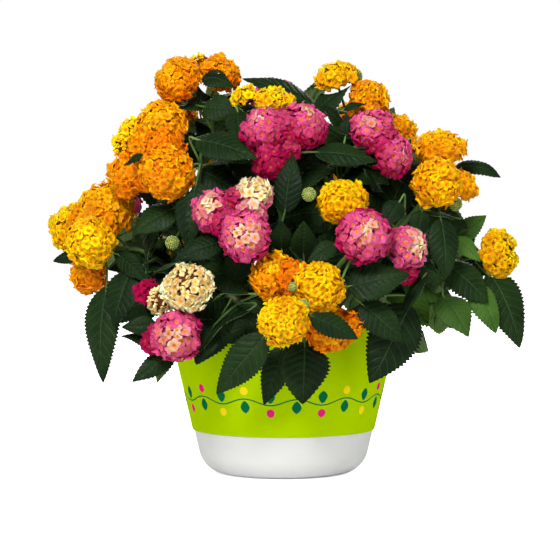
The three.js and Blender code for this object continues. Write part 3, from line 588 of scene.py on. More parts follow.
def hairy_stem(line, radii, corner, woody=0.0):
    return [tube(line, radii, sides=8, corner=corner, woody=woody), stem_hairs(line, radii)]


# ---- Leaves and stems ------------------------------------------------------------------------

# How many squares lie across a blade, for leaves in view, on the shoots and inside the bush.
ACROSS = 14
SHOOT_ACROSS = 6
INNER_ACROSS = 8
# How bright the leaves of a stem may be, from a dark old leaf at 0 to a fresh one at 1.
OLD_LEAVES = (0, 0.74)
FRESH_LEAVES = {"low_right": (0.6, 0.98), "back": (0.2, 0.95), "back_left": (0.2, 0.95)}
BLADE_THICKNESS = 0.45
LEAST_TEETH = 12
TEETH_PER_MM = 0.26
TOOTH_DEPTH = 0.12
TOOTH_BACK = 0.15
NOTCH_BACK = 0.35
FOOT_HALF_WIDTH = 0.9
VEIN_PAIRS = 9
VEIN_RAKE = 0.2
VEIN_BEND = 1.15
QUILTING = 1.4
RIB_GROOVE = 0.7
GROOVE_HALF_WIDTH = 1.5
EDGE_WAVE = 1.6
EDGE_WAVES = 7
WAVE_START = 6.3
TWIST = 0.16
END_FADE = 8
FULL_RELIEF_WIDTH = 30


def blade(leaf, freshness, across=ACROSS):
    """A thin closed blade with teeth, sunken veins and a waved edge."""
    teeth = max(LEAST_TEETH, round(leaf.length * TEETH_PER_MM))
    phase, twist = LUCK.uniform(0, WAVE_START), LUCK.uniform(-TWIST, TWIST)
    luck = LUCK.uniform(*freshness)
    near = [dome for dome in DOMES
            if (dome.centre - (leaf.foot + leaf.tip) / 2).length < leaf.length + dome.radius]
    bm = bmesh.new()
    uv = bm.loops.layers.uv.new("blade")
    bmesh.ops.create_grid(bm, x_segments=2 * teeth, y_segments=across, size=0.5)
    for face in bm.faces:
        for loop in face.loops:
            loop[uv].uv = (loop.vert.co.x + 0.5, loop.vert.co.y + 0.5)
    for vert in bm.verts:
        s, t = vert.co.x + 0.5, 2 * vert.co.y
        is_tooth = round(s * 2 * teeth) % 2 == 1
        back = (TOOTH_BACK if is_tooth else NOTCH_BACK) / (2 * teeth) if 0 < s < 1 else 0
        s -= back * t ** 4
        half = max(0.5 * leaf.width * half_width_share(s), FOOT_HALF_WIDTH * (s < 0.5))
        half *= 1 - (0 if is_tooth else TOOTH_DEPTH * abs(t) ** 7)
        wave = math.sin(math.pi * VEIN_PAIRS * (s - VEIN_RAKE * abs(t) ** VEIN_BEND)) ** 2
        fade = min(1, END_FADE * s, END_FADE * (1 - s)) * min(1, leaf.width / FULL_RELIEF_WIDTH)
        lift = (QUILTING * wave * min(1, 6 * abs(t)) * (1 - abs(t) ** 4)
                - RIB_GROOVE * math.exp(-(t * half / GROOVE_HALF_WIDTH) ** 2)
                + EDGE_WAVE * math.sin(EDGE_WAVES * s + phase + t) * abs(t) ** 3) * fade
        lift += twist * t * half * s
        vert.co = clear_of_heads(blade_point(leaf, s, t * half, lift), near=near)
    bmesh.ops.remove_doubles(bm, verts=bm.verts, dist=0.02)
    bm.normal_update()
    if sum((face.normal * face.calc_area() for face in bm.faces), Vector()).dot(leaf.normal) < 0:
        bmesh.ops.reverse_faces(bm, faces=bm.faces)
        bm.normal_update()
    lower = bmesh.ops.extrude_face_region(bm, geom=bm.faces[:], use_keep_orig=True)["geom"]
    for vert in only(lower, bmesh.types.BMVert):
        vert.co -= vert.normal * BLADE_THICKNESS
    turned_out(bm)
    bm.normal_update()
    paint(bm, BLADE_SLOT, lambda loop: (loop.face.normal.dot(leaf.normal) < 0, luck, 0, 1))
    return as_mesh(bm)


# The keel under a blade: its shares of the length, with its radii, and its lift.
KEEL = ((0.12, 0.7), (0.28, 0.6), (0.45, 0.5), (0.62, 0.4), (0.8, 0.25))
KEEL_LIFT = -1.5
PETIOLE_SAG = 1.5


def petiole(leaf, root):
    """The leaf stalk, which runs on under the blade as its keel."""
    lead = leaf.foot - leaf.along * HOOK_LENGTH
    points = [root, lead, leaf.foot]
    if (leaf.foot - root).normalized().dot(leaf.along) > HOOK_BELOW:
        points = [root, root.lerp(lead, 0.55) - UP * PETIOLE_SAG, leaf.foot]
    line = smooth_line([clear_of_heads(point) for point in points], 4)
    keel = [clear_of_heads(blade_point(leaf, s, 0, KEEL_LIFT)) for s, _ in KEEL]
    radii = taper(line, PETIOLE_RADIUS * 1.15, PETIOLE_RADIUS * 0.85)
    return tube([*line, *keel], [*radii, *(radius for _, radius in KEEL)])


def stalk_line(dome, line):
    """The stalk of a head leaves the stem at its nearest point and meets the head from below."""
    foot = dome.centre - dome.axis * (HEAD_FOOT * dome.height + SEAT_GAP)
    reach = foot - dome.axis * STALK_STRAIGHT
    root = nearest_on(line, foot - dome.axis * STALK_LEAD)
    middle = clear_of_heads((root + reach) / 2, own=dome)
    return smooth_line([root, middle, reach, foot], 5)


# A cluster of green buds has so many buds for each square of its radius over their spacing.
BUD_SPACING = 2.1
BUD_SHARE = 11
BUD_LOWEST = -0.9
BUD_SHAPE = Vector((1, 1, 1.6))
BUD_SINK = 1.2
BUD_CORE = 0.78
BUD_TIP_FROM = 0.85


def bud_cluster(centre, radius):
    """A tight round head of green buds that hasn't opened."""
    parts = []
    turn = UP.rotation_difference((centre - BUSH_HEART).normalized())
    count = round(BUD_SHARE * (radius / BUD_SPACING) ** 2)
    for direction in spread_directions(count, BUD_LOWEST, luck=0.05):
        bm = bmesh.new()
        bmesh.ops.create_uvsphere(bm, u_segments=6, v_segments=4, radius=1)
        size = BUD_SHAPE * LUCK.uniform(0.7, 0.95)
        seat = turn @ direction
        bmesh.ops.transform(bm, verts=bm.verts, matrix=Matrix.LocRotScale(
            centre + seat * (radius - BUD_SINK), UP.rotation_difference(seat), size))
        luck = LUCK.uniform(0.5, 0.9)
        paint(bm, BUD_SLOT, lambda loop: (0, luck, min(1, max(
            0, (loop.vert.co - centre).length / radius - BUD_TIP_FROM) * 5), 1))
        parts.append(as_mesh(bm))
    bm = bmesh.new()
    bmesh.ops.create_icosphere(bm, subdivisions=2, radius=radius * BUD_CORE,
                               matrix=Matrix.Translation(centre))
    for face in bm.faces:
        face.material_index = BUD_SLOT
    parts.append(as_mesh(bm))
    return parts


# The half sizes and the middle height of the rounded space that the inner leaves keep to.
BUSH_SIZE = Vector((195, 160, 235))
BUSH_MIDDLE = Vector((0, 0, 165))
INNER_ROOM = 0.8
INNER_FRONT = -112
INNER_NODE = 24
INNER_LENGTHS = (34, 54)
INNER_WIDTHS = (0.48, 0.62)
INNER_LEADS = (8, 14)
INNER_ARCH = 3
INNER_ROLL = 35
RIM_CLEARANCE = 6


def inner_leaves(line):
    """Single leaves at the nodes inside the bush, each turned a quarter from the last."""
    leaves = []
    walked = INNER_NODE * LUCK.random()
    turn = LUCK.uniform(0, math.pi)
    for before, after in zip(line, line[1:]):
        walked += (after - before).length
        if walked < INNER_NODE:
            continue
        walked -= INNER_NODE
        turn += math.pi / 2 + LUCK.uniform(-0.4, 0.4)
        heading = (after - before).normalized()
        out = Quaternion(heading, turn) @ heading.orthogonal().normalized()
        length = LUCK.uniform(*INNER_LENGTHS)
        foot = after + out * LUCK.uniform(*INNER_LEADS)
        lean = (out + heading * LUCK.uniform(0.1, 0.5) - UP * LUCK.uniform(0, 0.5)).normalized()
        tip = foot + lean * length
        room = shares(tip - BUSH_MIDDLE, BUSH_SIZE).length
        if room < INNER_ROOM and tip.y > INNER_FRONT and tip.z > POT_HEIGHT + RIM_CLEARANCE:
            leaves.append(leaf_frame(foot, tip, length * LUCK.uniform(*INNER_WIDTHS), INNER_ARCH,
                                     LUCK.uniform(-INNER_ROLL, INNER_ROLL)))
    return leaves


# The shoots that fill the sides and the back, each with leaves crosswise round its tip. They
# stay behind the front leaves, inside the reach of the plant, and out of the gaps in it.
SHOOT_COUNT = 84
SHOOT_LOWEST = -0.16
SHOOT_SHARES = (0.62, 0.84)
SHOOT_FRONT = -34
SHOOT_LEAVES = 4
SHOOT_LENGTHS = (44, 66)
SHOOT_WIDTH = 0.56
SHOOT_ARCH = 4
SHOOT_ROLL = 20
SHOOT_PETIOLE = 11
SHOOT_CLEARANCE = 8
CLEAR_OF_POT = 128
# Height, and how far the leaves reach to the left and to the right there.
PLANT_REACH = ((100, -130, 110), (135, -165, 165), (160, -180, 215), (230, -195, 190),
               (270, -165, 180), (310, -145, 145), (350, -110, 105), (375, -70, 75),
               (400, -30, 40))
# Gaps that one sees through from the front: across, height and radius.
OPEN_GAPS = ((-145, 162, 22), (-90, 302, 17), (-50, 368, 10))


def in_reach(point):
    height = point.z + VIEW_RISE * point.y
    if height > PLANT_REACH[-1][0]:
        return False
    for (low, *low_sides), (high, *high_sides) in zip(PLANT_REACH, PLANT_REACH[1:]):
        if low <= height <= high:
            share = (height - low) / (high - low)
            left, right = (a + (b - a) * share for a, b in zip(low_sides, high_sides))
            if not left < point.x < right:
                return False
    return all(math.hypot(point.x - x, height - z) > radius for x, z, radius in OPEN_GAPS)


def stem_lines(row):
    """The lines of a stem's parts, each with its kind."""
    lines = []
    for k, route in enumerate(row["routes"]):
        points = [Vector(point) for point in route]
        if k == 0:
            points.insert(1, points[0] + UP * UPRIGHT_LENGTH)
        lines.append((smooth_line(points, 6), SIDE_BRANCH if k else MAIN_STEM))
    return lines


def side_shoots():
    """Root, tip and outward direction of every shoot, under the name of the nearest stem."""
    shoots = {name: [] for name in STEMS}
    places = [(name, point) for name, row in STEMS.items() for line, _ in stem_lines(row)
              for point in part_of(line, 0.3, 1)]
    for direction in spread_directions(SHOOT_COUNT, SHOOT_LOWEST, luck=0.12):
        tip = BUSH_MIDDLE + times(direction, BUSH_SIZE) * LUCK.uniform(*SHOOT_SHARES)
        if tip.y > SHOOT_FRONT and in_reach(tip):
            low = tip - direction * 30 - UP * 20
            name, root = min(places, key=lambda place: (place[1] - low).length)
            outward = shares(direction, BUSH_SIZE).normalized()
            shoots[name].append((root, clear_of_heads(tip), outward))
    return shoots


def shoot_leaves(tip, outward):
    """Leaves crosswise round a shoot's tip, as far as they have room."""
    leaves = []
    aside = outward.cross(UP).normalized()
    start = LUCK.uniform(0, math.pi)
    for k in range(SHOOT_LEAVES):
        turn = start + k * FULL_TURN / SHOOT_LEAVES + LUCK.uniform(-0.25, 0.25)
        spread = Quaternion(outward, turn) @ aside
        along = (spread + outward * LUCK.uniform(0.1, 0.4) - UP * LUCK.uniform(0.1, 0.5)).normalized()
        length = LUCK.uniform(*SHOOT_LENGTHS)
        foot = tip + along * SHOOT_PETIOLE
        end = foot + along * length
        over_pot = end.z > POT_HEIGHT + SHOOT_CLEARANCE or math.hypot(end.x, end.y) > CLEAR_OF_POT
        if over_pot and all(in_reach(foot.lerp(end, share)) for share in (0, 0.5, 1)):
            leaves.append(leaf_frame(foot, end, length * SHOOT_WIDTH, SHOOT_ARCH,
                                     LUCK.uniform(-SHOOT_ROLL, SHOOT_ROLL),
                                     outward=(outward + UP * 0.35).normalized()))
    return leaves


def leafy_stem(name, row, materials, shoots):
    """A stem with its branches, the stalks of its heads, its buds, its shoots and its leaves."""
    parts = []
    line = []
    for whole, kind in stem_lines(row):
        radii = taper(whole, kind.radius, kind.radius * 0.75)
        parts += hairy_stem(whole, radii, 0.8, woody=1.0)
        line += part_of(whole, kind.start, kind.end)
    skeleton = list(line)
    for (_, stem, *_), domes in zip(HEADS, HEAD_DOMES):
        if stem == name:
            stalk = stalk_line(domes[0], line)
            radii = taper(stalk, STALK.radius * 1.15, STALK.radius * 0.8, flare=2.2)
            parts += hairy_stem(stalk, radii, 0.82)
            skeleton += part_of(stalk, STALK.start, STALK.end)
    for centre, radius in row["buds"]:
        centre = Vector(centre)
        parts += bud_cluster(centre, radius)
        root = nearest_on(line, centre)
        curve = smooth_line([root, clear_of_heads((root + centre) / 2), centre], 4)
        parts.append(tube(curve, taper(curve, 1.1, 0.8, flare=3)))
    freshness = FRESH_LEAVES.get(name, OLD_LEAVES)
    for leaf_row in row["leaves"]:
        leaf = leaf_frame(*leaf_row)
        root = nearest_on(skeleton, leaf.foot - leaf.along * PETIOLE_LEAD)
        parts += [petiole(leaf, root), blade(leaf, freshness)]
    for root, tip, outward in shoots:
        curve = smooth_line([root, clear_of_heads((root + tip) / 2 + UP * 6), tip], 5)
        parts.append(tube(curve, taper(curve, 1.7, 1.1, flare=2)))
        for leaf in shoot_leaves(tip, outward):
            parts += [petiole(leaf, tip), blade(leaf, OLD_LEAVES, across=SHOOT_ACROSS)]
    for leaf in inner_leaves(line):
        parts += [petiole(leaf, nearest_on(line, leaf.foot)),
                  blade(leaf, OLD_LEAVES, across=INNER_ACROSS)]
    piece(joined(parts), f"foliage_{name}", materials, "leaf", f"stem_{name}")


# ---- Flower heads ------------------------------------------------------------------------------

FLORET_RADIUS = 6.4
FLORET_AREA = 68
SIDES_PER_PETAL = 3
PETAL_CURLS = (-3.0, 1.9)
PETAL_SIZES = (0.86, 1.12)
# A floret's rings, from round its eye over the petals to under them: radius share and height.
FLORET_RINGS = [(0.2, -0.2), (0.64, 0.7), (1.0, 1.0), (0.45, -1.2)]
EDGE_RING = 2
EYE_DEPTH = 0.4
FLORET_FOOT = 9
# The reach of a petal's under side, of the foot of the tube, and of the eye. A reach past 1 gets painted
# shade in the petal tone.
UNDER_REACH = 1.4
FOOT_REACH = 1.6
EYE_REACH = 0.0
HEAD_CORE = 0.82
HEAD_LUMPS = 0.09
BUD_AGE = 0.06
BUD_RADIUS = 1.4
BUD_LENGTH = 2.8
BUDS_MORE = 5
BUDS_ASIDE = 3.8
BUDS_RISE = 1.8
OTHER_DOME = 0.86
FLORET_RISES = (-1.9, 1.0)
FLORET_TILT = 0.6


def new_floret_mesh():
    """An empty bmesh whose points keep their reach from the eye and their painted light."""
    bm = bmesh.new()
    for name in ("reach", "light"):
        bm.verts.layers.float.new(name)
    return bm


def floret_layers(bm):
    return bm.verts.layers.float["reach"], bm.verts.layers.float["light"]


def floret_template(petals, seed):
    """Rounded petals round an eye, on a narrow tube. The vertices keep their reach and their petal's
    painted light.
    """
    chance = random.Random(seed)
    curls = [chance.uniform(*PETAL_CURLS) for _ in range(petals)]
    sizes = [chance.uniform(*PETAL_SIZES) for _ in range(petals)]
    # Each petal gets a random brightness: painted light for how a petal, turned its own way, catches the
    # lamp.
    lights = [chance.random() for _ in range(petals)]
    bm = new_floret_mesh()
    reach, light = floret_layers(bm)
    verts = bmesh.ops.create_circle(bm, segments=petals * SIDES_PER_PETAL,
                                    radius=FLORET_RADIUS)["verts"]
    edges = eye = list(bm.edges)
    for number, (share, height) in enumerate(FLORET_RINGS):
        if number:
            verts, edges = grown_ring(bm, edges)
        for vert in verts:
            angle = math.atan2(vert.co.y, vert.co.x) % FULL_TURN
            turns = petals * angle / FULL_TURN
            lobe = abs(math.sin(math.pi * turns)) ** 0.5
            petal = round(turns - 0.5) % petals
            notch = 1 if number == EDGE_RING else 0.4
            size = FLORET_RADIUS * share * (1 - notch * (1 - sizes[petal] * (0.55 + 0.47 * lobe)))
            curl = 0
            if number <= EDGE_RING:
                curl = lobe * curls[petal] * share ** 2 - 0.7 * (1 - lobe) * share
                curl += chance.uniform(-0.5, 0.5) * (number == EDGE_RING)
            vert.co = (size * math.cos(angle), size * math.sin(angle), height + curl)
            vert[reach] = share if number <= EDGE_RING else UNDER_REACH
            vert[light] = lights[petal] * lobe
    for rim, drop, depth in ((eye, EYE_DEPTH, EYE_REACH), (edges, FLORET_FOOT, FOOT_REACH)):
        cap = bmesh.ops.contextual_create(bm, geom=rim)["faces"]
        for vert in bmesh.ops.poke(bm, faces=cap)["verts"]:
            vert.co.z -= drop
            vert[reach] = depth
    turned_out(bm)
    return as_mesh(bm)


def bud_template():
    """An unopened floret: a small blunt club."""
    bm = new_floret_mesh()
    reach, light = floret_layers(bm)
    bmesh.ops.create_uvsphere(bm, u_segments=8, v_segments=5, radius=1)
    for vert in bm.verts:
        vert.co = (vert.co.x * BUD_RADIUS, vert.co.y * BUD_RADIUS, vert.co.z * BUD_LENGTH - 2.0)
        # Its reach runs from about 0.7 at the tip to about 1.4 at the foot, which the petal tone turns
        # into a painted highlight and painted shade.
        vert[reach] = 0.8 - 0.12 * vert.co.z
        vert[light] = 0.7
    return as_mesh(bm)


FLORETS = [floret_template(petals, 7 * petals + k) for k in range(4) for petals in (4, 5)]
BUD = bud_template()


def add_floret(bm, template, seat, age):
    """Places a floret and writes its age, its reach, and a number that mixes chance for its colour with
    its petals' painted light.
    """
    verts = added_mesh(bm, template)
    reach, light = floret_layers(bm)
    look = bm.verts.layers.float_color["floret"]
    luck = LUCK.random()
    bmesh.ops.transform(bm, matrix=seat, verts=verts)
    for vert in verts:
        vert[look] = (age, vert[reach], 0.5 * luck + 0.5 * vert[light], 1)


def fill_dome(bm, dome, domes):
    """Covers a dome with florets, but not where it lies inside another dome."""
    shape = (dome.radius, dome.radius, dome.height)
    turn = UP.rotation_difference(dome.axis)
    middle_age, rim_age = dome.ages
    area = 2 * math.pi * dome.radius ** 2 * (1 - FLORET_LOWEST) * (
        0.35 + 0.65 * dome.height / dome.radius)
    step = 0.9 / math.sqrt(area / FLORET_AREA)
    lump = Vector([LUCK.uniform(0, 50) for _ in range(3)])
    for direction in spread_directions(round(area / FLORET_AREA), FLORET_LOWEST, luck=step / 3):
        away = math.acos(max(-1, min(1, direction.z))) / 2
        age = middle_age + (rim_age - middle_age) * min(1, away ** 1.1)
        age += LUCK.uniform(-0.07, 0.07)
        in_bud = age < BUD_AGE and LUCK.random() < 0.85
        bulge = 0.93 + HEAD_LUMPS * noise.noise(direction * 1.7 + lump)
        seat = dome.centre + turn @ (times(direction, shape) * bulge
                                     + direction * LUCK.uniform(*FLORET_RISES))
        if any(other is not dome and share_of_dome(other, seat) < OTHER_DOME for other in domes):
            continue
        facing = (shares(direction, shape).normalized() + direction * 0.5 + Vector(
            [LUCK.uniform(-FLORET_TILT, FLORET_TILT) for _ in range(3)])).normalized()
        size = LUCK.uniform(0.88, 1.1) * (0.86 + 0.14 * min(1, max(age, 0) * 3))
        spin = Quaternion(UP, LUCK.uniform(0, FULL_TURN))
        matrix = Matrix.LocRotScale(seat, UP.rotation_difference(turn @ facing) @ spin,
                                    Vector((size, size, size)))
        add_floret(bm, BUD if in_bud else LUCK.choice(FLORETS), matrix, max(age, 0))
        for _ in range(BUDS_MORE * in_bud):
            aside = (LUCK.uniform(-BUDS_ASIDE, BUDS_ASIDE), LUCK.uniform(-BUDS_ASIDE, BUDS_ASIDE),
                     LUCK.uniform(0, BUDS_RISE))
            add_floret(bm, BUD, matrix @ Matrix.Translation(aside), max(age, 0))


# The look of a head's inside, as in add_floret, under florets and under buds. Its reach past 1 gives it
# painted shade, deepest under buds.
CORE_LOOK = (0.8, 1.35, 0.5, 1)
CORE_UNDER_BUDS = (0.1, 3.0, 0.1, 1)


def add_core(bm, dome):
    """The inside of a head, under the florets, with painted shade that is darkest under buds."""
    first = len(bm.verts)
    size = Vector((dome.radius, dome.radius, dome.height)) * HEAD_CORE
    matrix = Matrix.LocRotScale(dome.centre, UP.rotation_difference(dome.axis), size)
    bmesh.ops.create_icosphere(bm, subdivisions=2, radius=1, matrix=matrix)
    bm.verts.ensure_lookup_table()
    look = bm.verts.layers.float_color["floret"]
    for vert in bm.verts[first:]:
        vert[look] = CORE_LOOK if dome.ages[0] > BUD_AGE else CORE_UNDER_BUDS


# Heads that have grown into one cluster, so that florets fill the waists between them.
GROWN_TOGETHER = {4: [5, 6], 5: [6], 7: [8, 9], 8: [9], 11: [12, 13], 12: [13], 14: [], 15: [],
                  19: [], 24: [], 26: [27, 28]}
# More domes of florets on a head.
SIDE_DOMES = {4: [[[-149, -58, 341], 14, 0.9, [-6, -5, 5], 0.0, 0.3]],
              6: [[[-134, -66, 322], 17, 0.9, [-5, -7, 1], 0.5, 0.9]],
              29: [[[62, -150, 157], 15, 0.8, [5, -8, -3], 0.6, 1.0]]}
BRIDGE_SIZE = 0.84
BRIDGE_AGES = (0.7, 1.0)
BRIDGE_GAP = 1.2


def bridge(one, other):
    """A smaller dome in the waist between two domes, if they stand near each other."""
    both = one.radius + other.radius
    if (one.centre - other.centre).length > BRIDGE_GAP * both:
        return []
    radius = min(one.radius, other.radius) * BRIDGE_SIZE
    return [Dome(one.centre.lerp(other.centre, one.radius / both), radius, radius,
                 (one.axis + other.axis).normalized(), BRIDGE_AGES)]


def flower_head(number, colour, domes, materials):
    bm = new_floret_mesh()
    bm.verts.layers.float_color.new("floret")
    whole = domes + [dome_frame(*row) for row in SIDE_DOMES.get(number, [])]
    neighbours = []
    if number in GROWN_TOGETHER:
        neighbours = [dome for other in GROWN_TOGETHER[number] for dome in HEAD_DOMES[other - 1]]
        for k, one in enumerate(domes):
            for other in domes[k + 1:] + neighbours:
                whole += bridge(one, other)
    for dome in whole:
        fill_dome(bm, dome, whole + neighbours)
        add_core(bm, dome)
    name = f"{number:02d}_{colour}"
    piece(bm, f"bloom_{name}", materials, f"bloom_{colour}", f"head_{name}")


# ---- Shaders -----------------------------------------------------------------------------------

def srgb(red, green, blue):
    """A colour given in the 0 to 255 steps of a screen, as Blender's linear colour."""
    linear = []
    for step in (red, green, blue):
        share = step / 255
        linear.append(share / 12.92 if share <= 0.04045 else ((share + 0.055) / 1.055) ** 2.4)
    return (*linear, 1)


def feed(tree, node, inputs):
    """Links the inputs that are sockets, and sets those that are plain values."""
    for socket, value in inputs.items():
        if isinstance(value, bpy.types.NodeSocket):
            tree.links.new(value, node.inputs[socket])
        else:
            node.inputs[socket].default_value = value
    return node


def add_node(tree, kind, inputs=None, **settings):
    node = tree.nodes.new(kind)
    for name, value in settings.items():
        setattr(node, name, value)
    return feed(tree, node, inputs or {})


def calc(tree, operation, *values):
    return add_node(tree, "ShaderNodeMath", dict(enumerate(values)), operation=operation).outputs[0]


def blend(tree, factor, first, second, kind="MIX"):
    return add_node(tree, "ShaderNodeMix", {0: factor, 6: first, 7: second},
                    data_type="RGBA", blend_type=kind).outputs[2]


def ease(tree, value, low, high, start=0.0, end=1.0):
    """Start up to the low value, end from the high one, and smooth between them."""
    return add_node(tree, "ShaderNodeMapRange", {0: value, 1: low, 2: high, 3: start, 4: end},
                    interpolation_type="SMOOTHSTEP").outputs[0]


def object_point(tree):
    return add_node(tree, "ShaderNodeTexCoord").outputs["Object"]


def parts_of(tree, vector):
    return add_node(tree, "ShaderNodeSeparateXYZ", {0: vector}).outputs


def speckle(tree, scale, detail=2.0, roughness=0.55, stretch=None):
    """A noise pattern over the object, with so many grains in a metre."""
    point = object_point(tree)
    if stretch:
        point = add_node(tree, "ShaderNodeMapping", {"Vector": point, "Scale": stretch}).outputs[0]
    return add_node(tree, "ShaderNodeTexNoise", {"Vector": point, "Scale": scale, "Detail": detail,
                                                 "Roughness": roughness}).outputs["Fac"]


def attribute(tree, name):
    """The red, green and blue of a colour attribute of the piece."""
    node = add_node(tree, "ShaderNodeAttribute", attribute_name=name)
    return add_node(tree, "ShaderNodeSeparateColor", {0: node.outputs["Color"]}).outputs[:3]


def new_group(name, inputs, outputs):
    """An empty shader group, with a kind for each of its inputs and outputs."""
    tree = bpy.data.node_groups.new(name, "ShaderNodeTree")
    for way, sockets in (("INPUT", inputs), ("OUTPUT", outputs)):
        for socket, kind in sockets.items():
            tree.interface.new_socket(name=socket, in_out=way, socket_type=f"NodeSocket{kind}")
    return tree, tree.nodes.new("NodeGroupInput").outputs, tree.nodes.new("NodeGroupOutput")


def place_group(tree, group, **inputs):
    return add_node(tree, "ShaderNodeGroup", inputs, node_tree=group).outputs


def set_shader(material, **inputs):
    """Feeds a material's Principled shader. In the names an underscore stands for a space."""
    tree = material.node_tree
    feed(tree, tree.nodes["Principled BSDF"],
         {socket.replace("_", " "): value for socket, value in inputs.items()})


def new_material(name, **inputs):
    material = bpy.data.materials.new(name)
    material.use_nodes = True
    set_shader(material, **inputs)
    return material, material.node_tree


def dressed(material, height, strength, depth, **inputs):
    """The material with the relief of a height, so strong and so deep in metres."""
    bump = add_node(material.node_tree, "ShaderNodeBump", {
        "Strength": strength, "Distance": depth, "Height": height})
    set_shader(material, Normal=bump.outputs[0], **inputs)
    return material


def make_green_tissue():
    """Living green skin: two greens in clouds, a little fine mottling and a grain of cells."""
    tree, start, end = new_group(
        "green_tissue", {"Light": "Color", "Dark": "Color", "Luck": "Float", "Grain": "Float"},
        {"Colour": "Color", "Height": "Float"})
    clouds = ease(tree, speckle(tree, 35, detail=4), 0.3, 0.7, -0.25, 0.25)
    mottling = ease(tree, speckle(tree, 900), 0.35, 0.65, -0.12, 0.12)
    share = calc(tree, "ADD", calc(tree, "ADD", clouds, start["Luck"]), mottling)
    share = add_node(tree, "ShaderNodeClamp", {0: share}).outputs[0]
    cells = add_node(tree, "ShaderNodeTexVoronoi", {"Vector": object_point(tree),
                                                    "Scale": start["Grain"]})
    feed(tree, end, {"Colour": blend(tree, share, start["Dark"], start["Light"]),
                     "Height": cells.outputs["Distance"]})
    return tree


EYE_SIZE = 0.42


def make_petal_tone():
    """A floret's colour from its age, its reach from the eye, and chance, with painted shade in the
    throat and under the petals and a painted highlight on the petal edges.
    """
    tree, start, end = new_group(
        "petal_tone", dict.fromkeys(("Young", "Open", "Old", "Eye", "Throat"), "Color"),
        {"Colour": "Color", "Height": "Float"})
    age, reach, luck = attribute(tree, "floret")
    aged = calc(tree, "ADD", age, calc(tree, "MULTIPLY_ADD", luck, 0.16, -0.08))
    colour = blend(tree, ease(tree, aged, 0.12, 0.4), start["Young"], start["Open"])
    colour = blend(tree, ease(tree, aged, 0.5, 0.92), colour, start["Old"])
    eye = ease(tree, reach, EYE_SIZE * 0.45, EYE_SIZE, 1.0, 0.0)
    eye = calc(tree, "MULTIPLY", eye, ease(tree, aged, 0.3, 0.75, 1.0, 0.12))
    colour = blend(tree, eye, colour, start["Eye"])
    colour = blend(tree, ease(tree, reach, 0.1, 0.22, 0.75, 0.0), colour, start["Throat"])
    # A random brightness per floret, mixed with each petal's painted light for how it catches the lamp.
    tone_and_painted_light = calc(tree, "MULTIPLY_ADD", luck, 0.56, 0.6)
    # Mottling, then painted shade in the throat, a painted highlight on the petal edges, and painted
    # shade under the petals.
    for share in (ease(tree, speckle(tree, 420), 0.3, 0.7, 0.86, 1.1),
                  ease(tree, reach, 0.15, 0.7, 0.8, 1.0), ease(tree, reach, 0.8, 1.0, 1.0, 1.22),
                  ease(tree, reach, 1.0, 3.0, 1.0, 0.18)):
        tone_and_painted_light = calc(tree, "MULTIPLY", tone_and_painted_light, share)
    # Green and blue drop faster than red, so the painted shade and the darker tones turn a deeper hue.
    deep = calc(tree, "POWER", tone_and_painted_light, 1.7)
    tone_and_painted_light_colour = add_node(tree, "ShaderNodeCombineColor", {0: tone_and_painted_light, 1: deep, 2: deep}).outputs[0]
    feed(tree, end, {"Colour": blend(tree, 1.0, colour, tone_and_painted_light_colour, kind="MULTIPLY"),
                     "Height": speckle(tree, 700)})
    return tree


def make_moulded_grain():
    """The faint orange-peel skin of moulded plastic, and the rub marks of handling."""
    tree, start, end = new_group(
        "moulded_grain", {"Base": "Color", "Soiled": "Color", "Roughness": "Float"},
        {"Colour": "Color", "Roughness": "Float", "Height": "Float"})
    dust = ease(tree, speckle(tree, 22, detail=6, roughness=0.7), 0.5, 0.78, 0.0, 0.5)
    rubs = ease(tree, speckle(tree, 60, detail=5, stretch=(1, 1, 0.12)), 0.42, 0.7, -0.05, 0.12)
    feed(tree, end, {"Colour": blend(tree, dust, start["Base"], start["Soiled"]),
                     "Roughness": calc(tree, "ADD", start["Roughness"], rubs),
                     "Height": speckle(tree, 650)})
    return tree


GREEN_TISSUE = make_green_tissue()
PETAL_TONE = make_petal_tone()
MOULDED_GRAIN = make_moulded_grain()


# ---- Materials ---------------------------------------------------------------------------------

def petal_material(name, young, opened, old, eye, throat):
    material, tree = new_material(name, Roughness=0.65, Specular_IOR_Level=0.06,
                                  Subsurface_Weight=0.45, Subsurface_Scale=0.0025,
                                  Subsurface_Radius=(1.0, 0.6, 0.35))
    tone = place_group(tree, PETAL_TONE, Young=srgb(*young), Open=srgb(*opened), Old=srgb(*old),
                       Eye=srgb(*eye), Throat=srgb(*throat))
    return dressed(material, tone["Height"], 0.25, 0.0005, Base_Color=tone["Colour"])


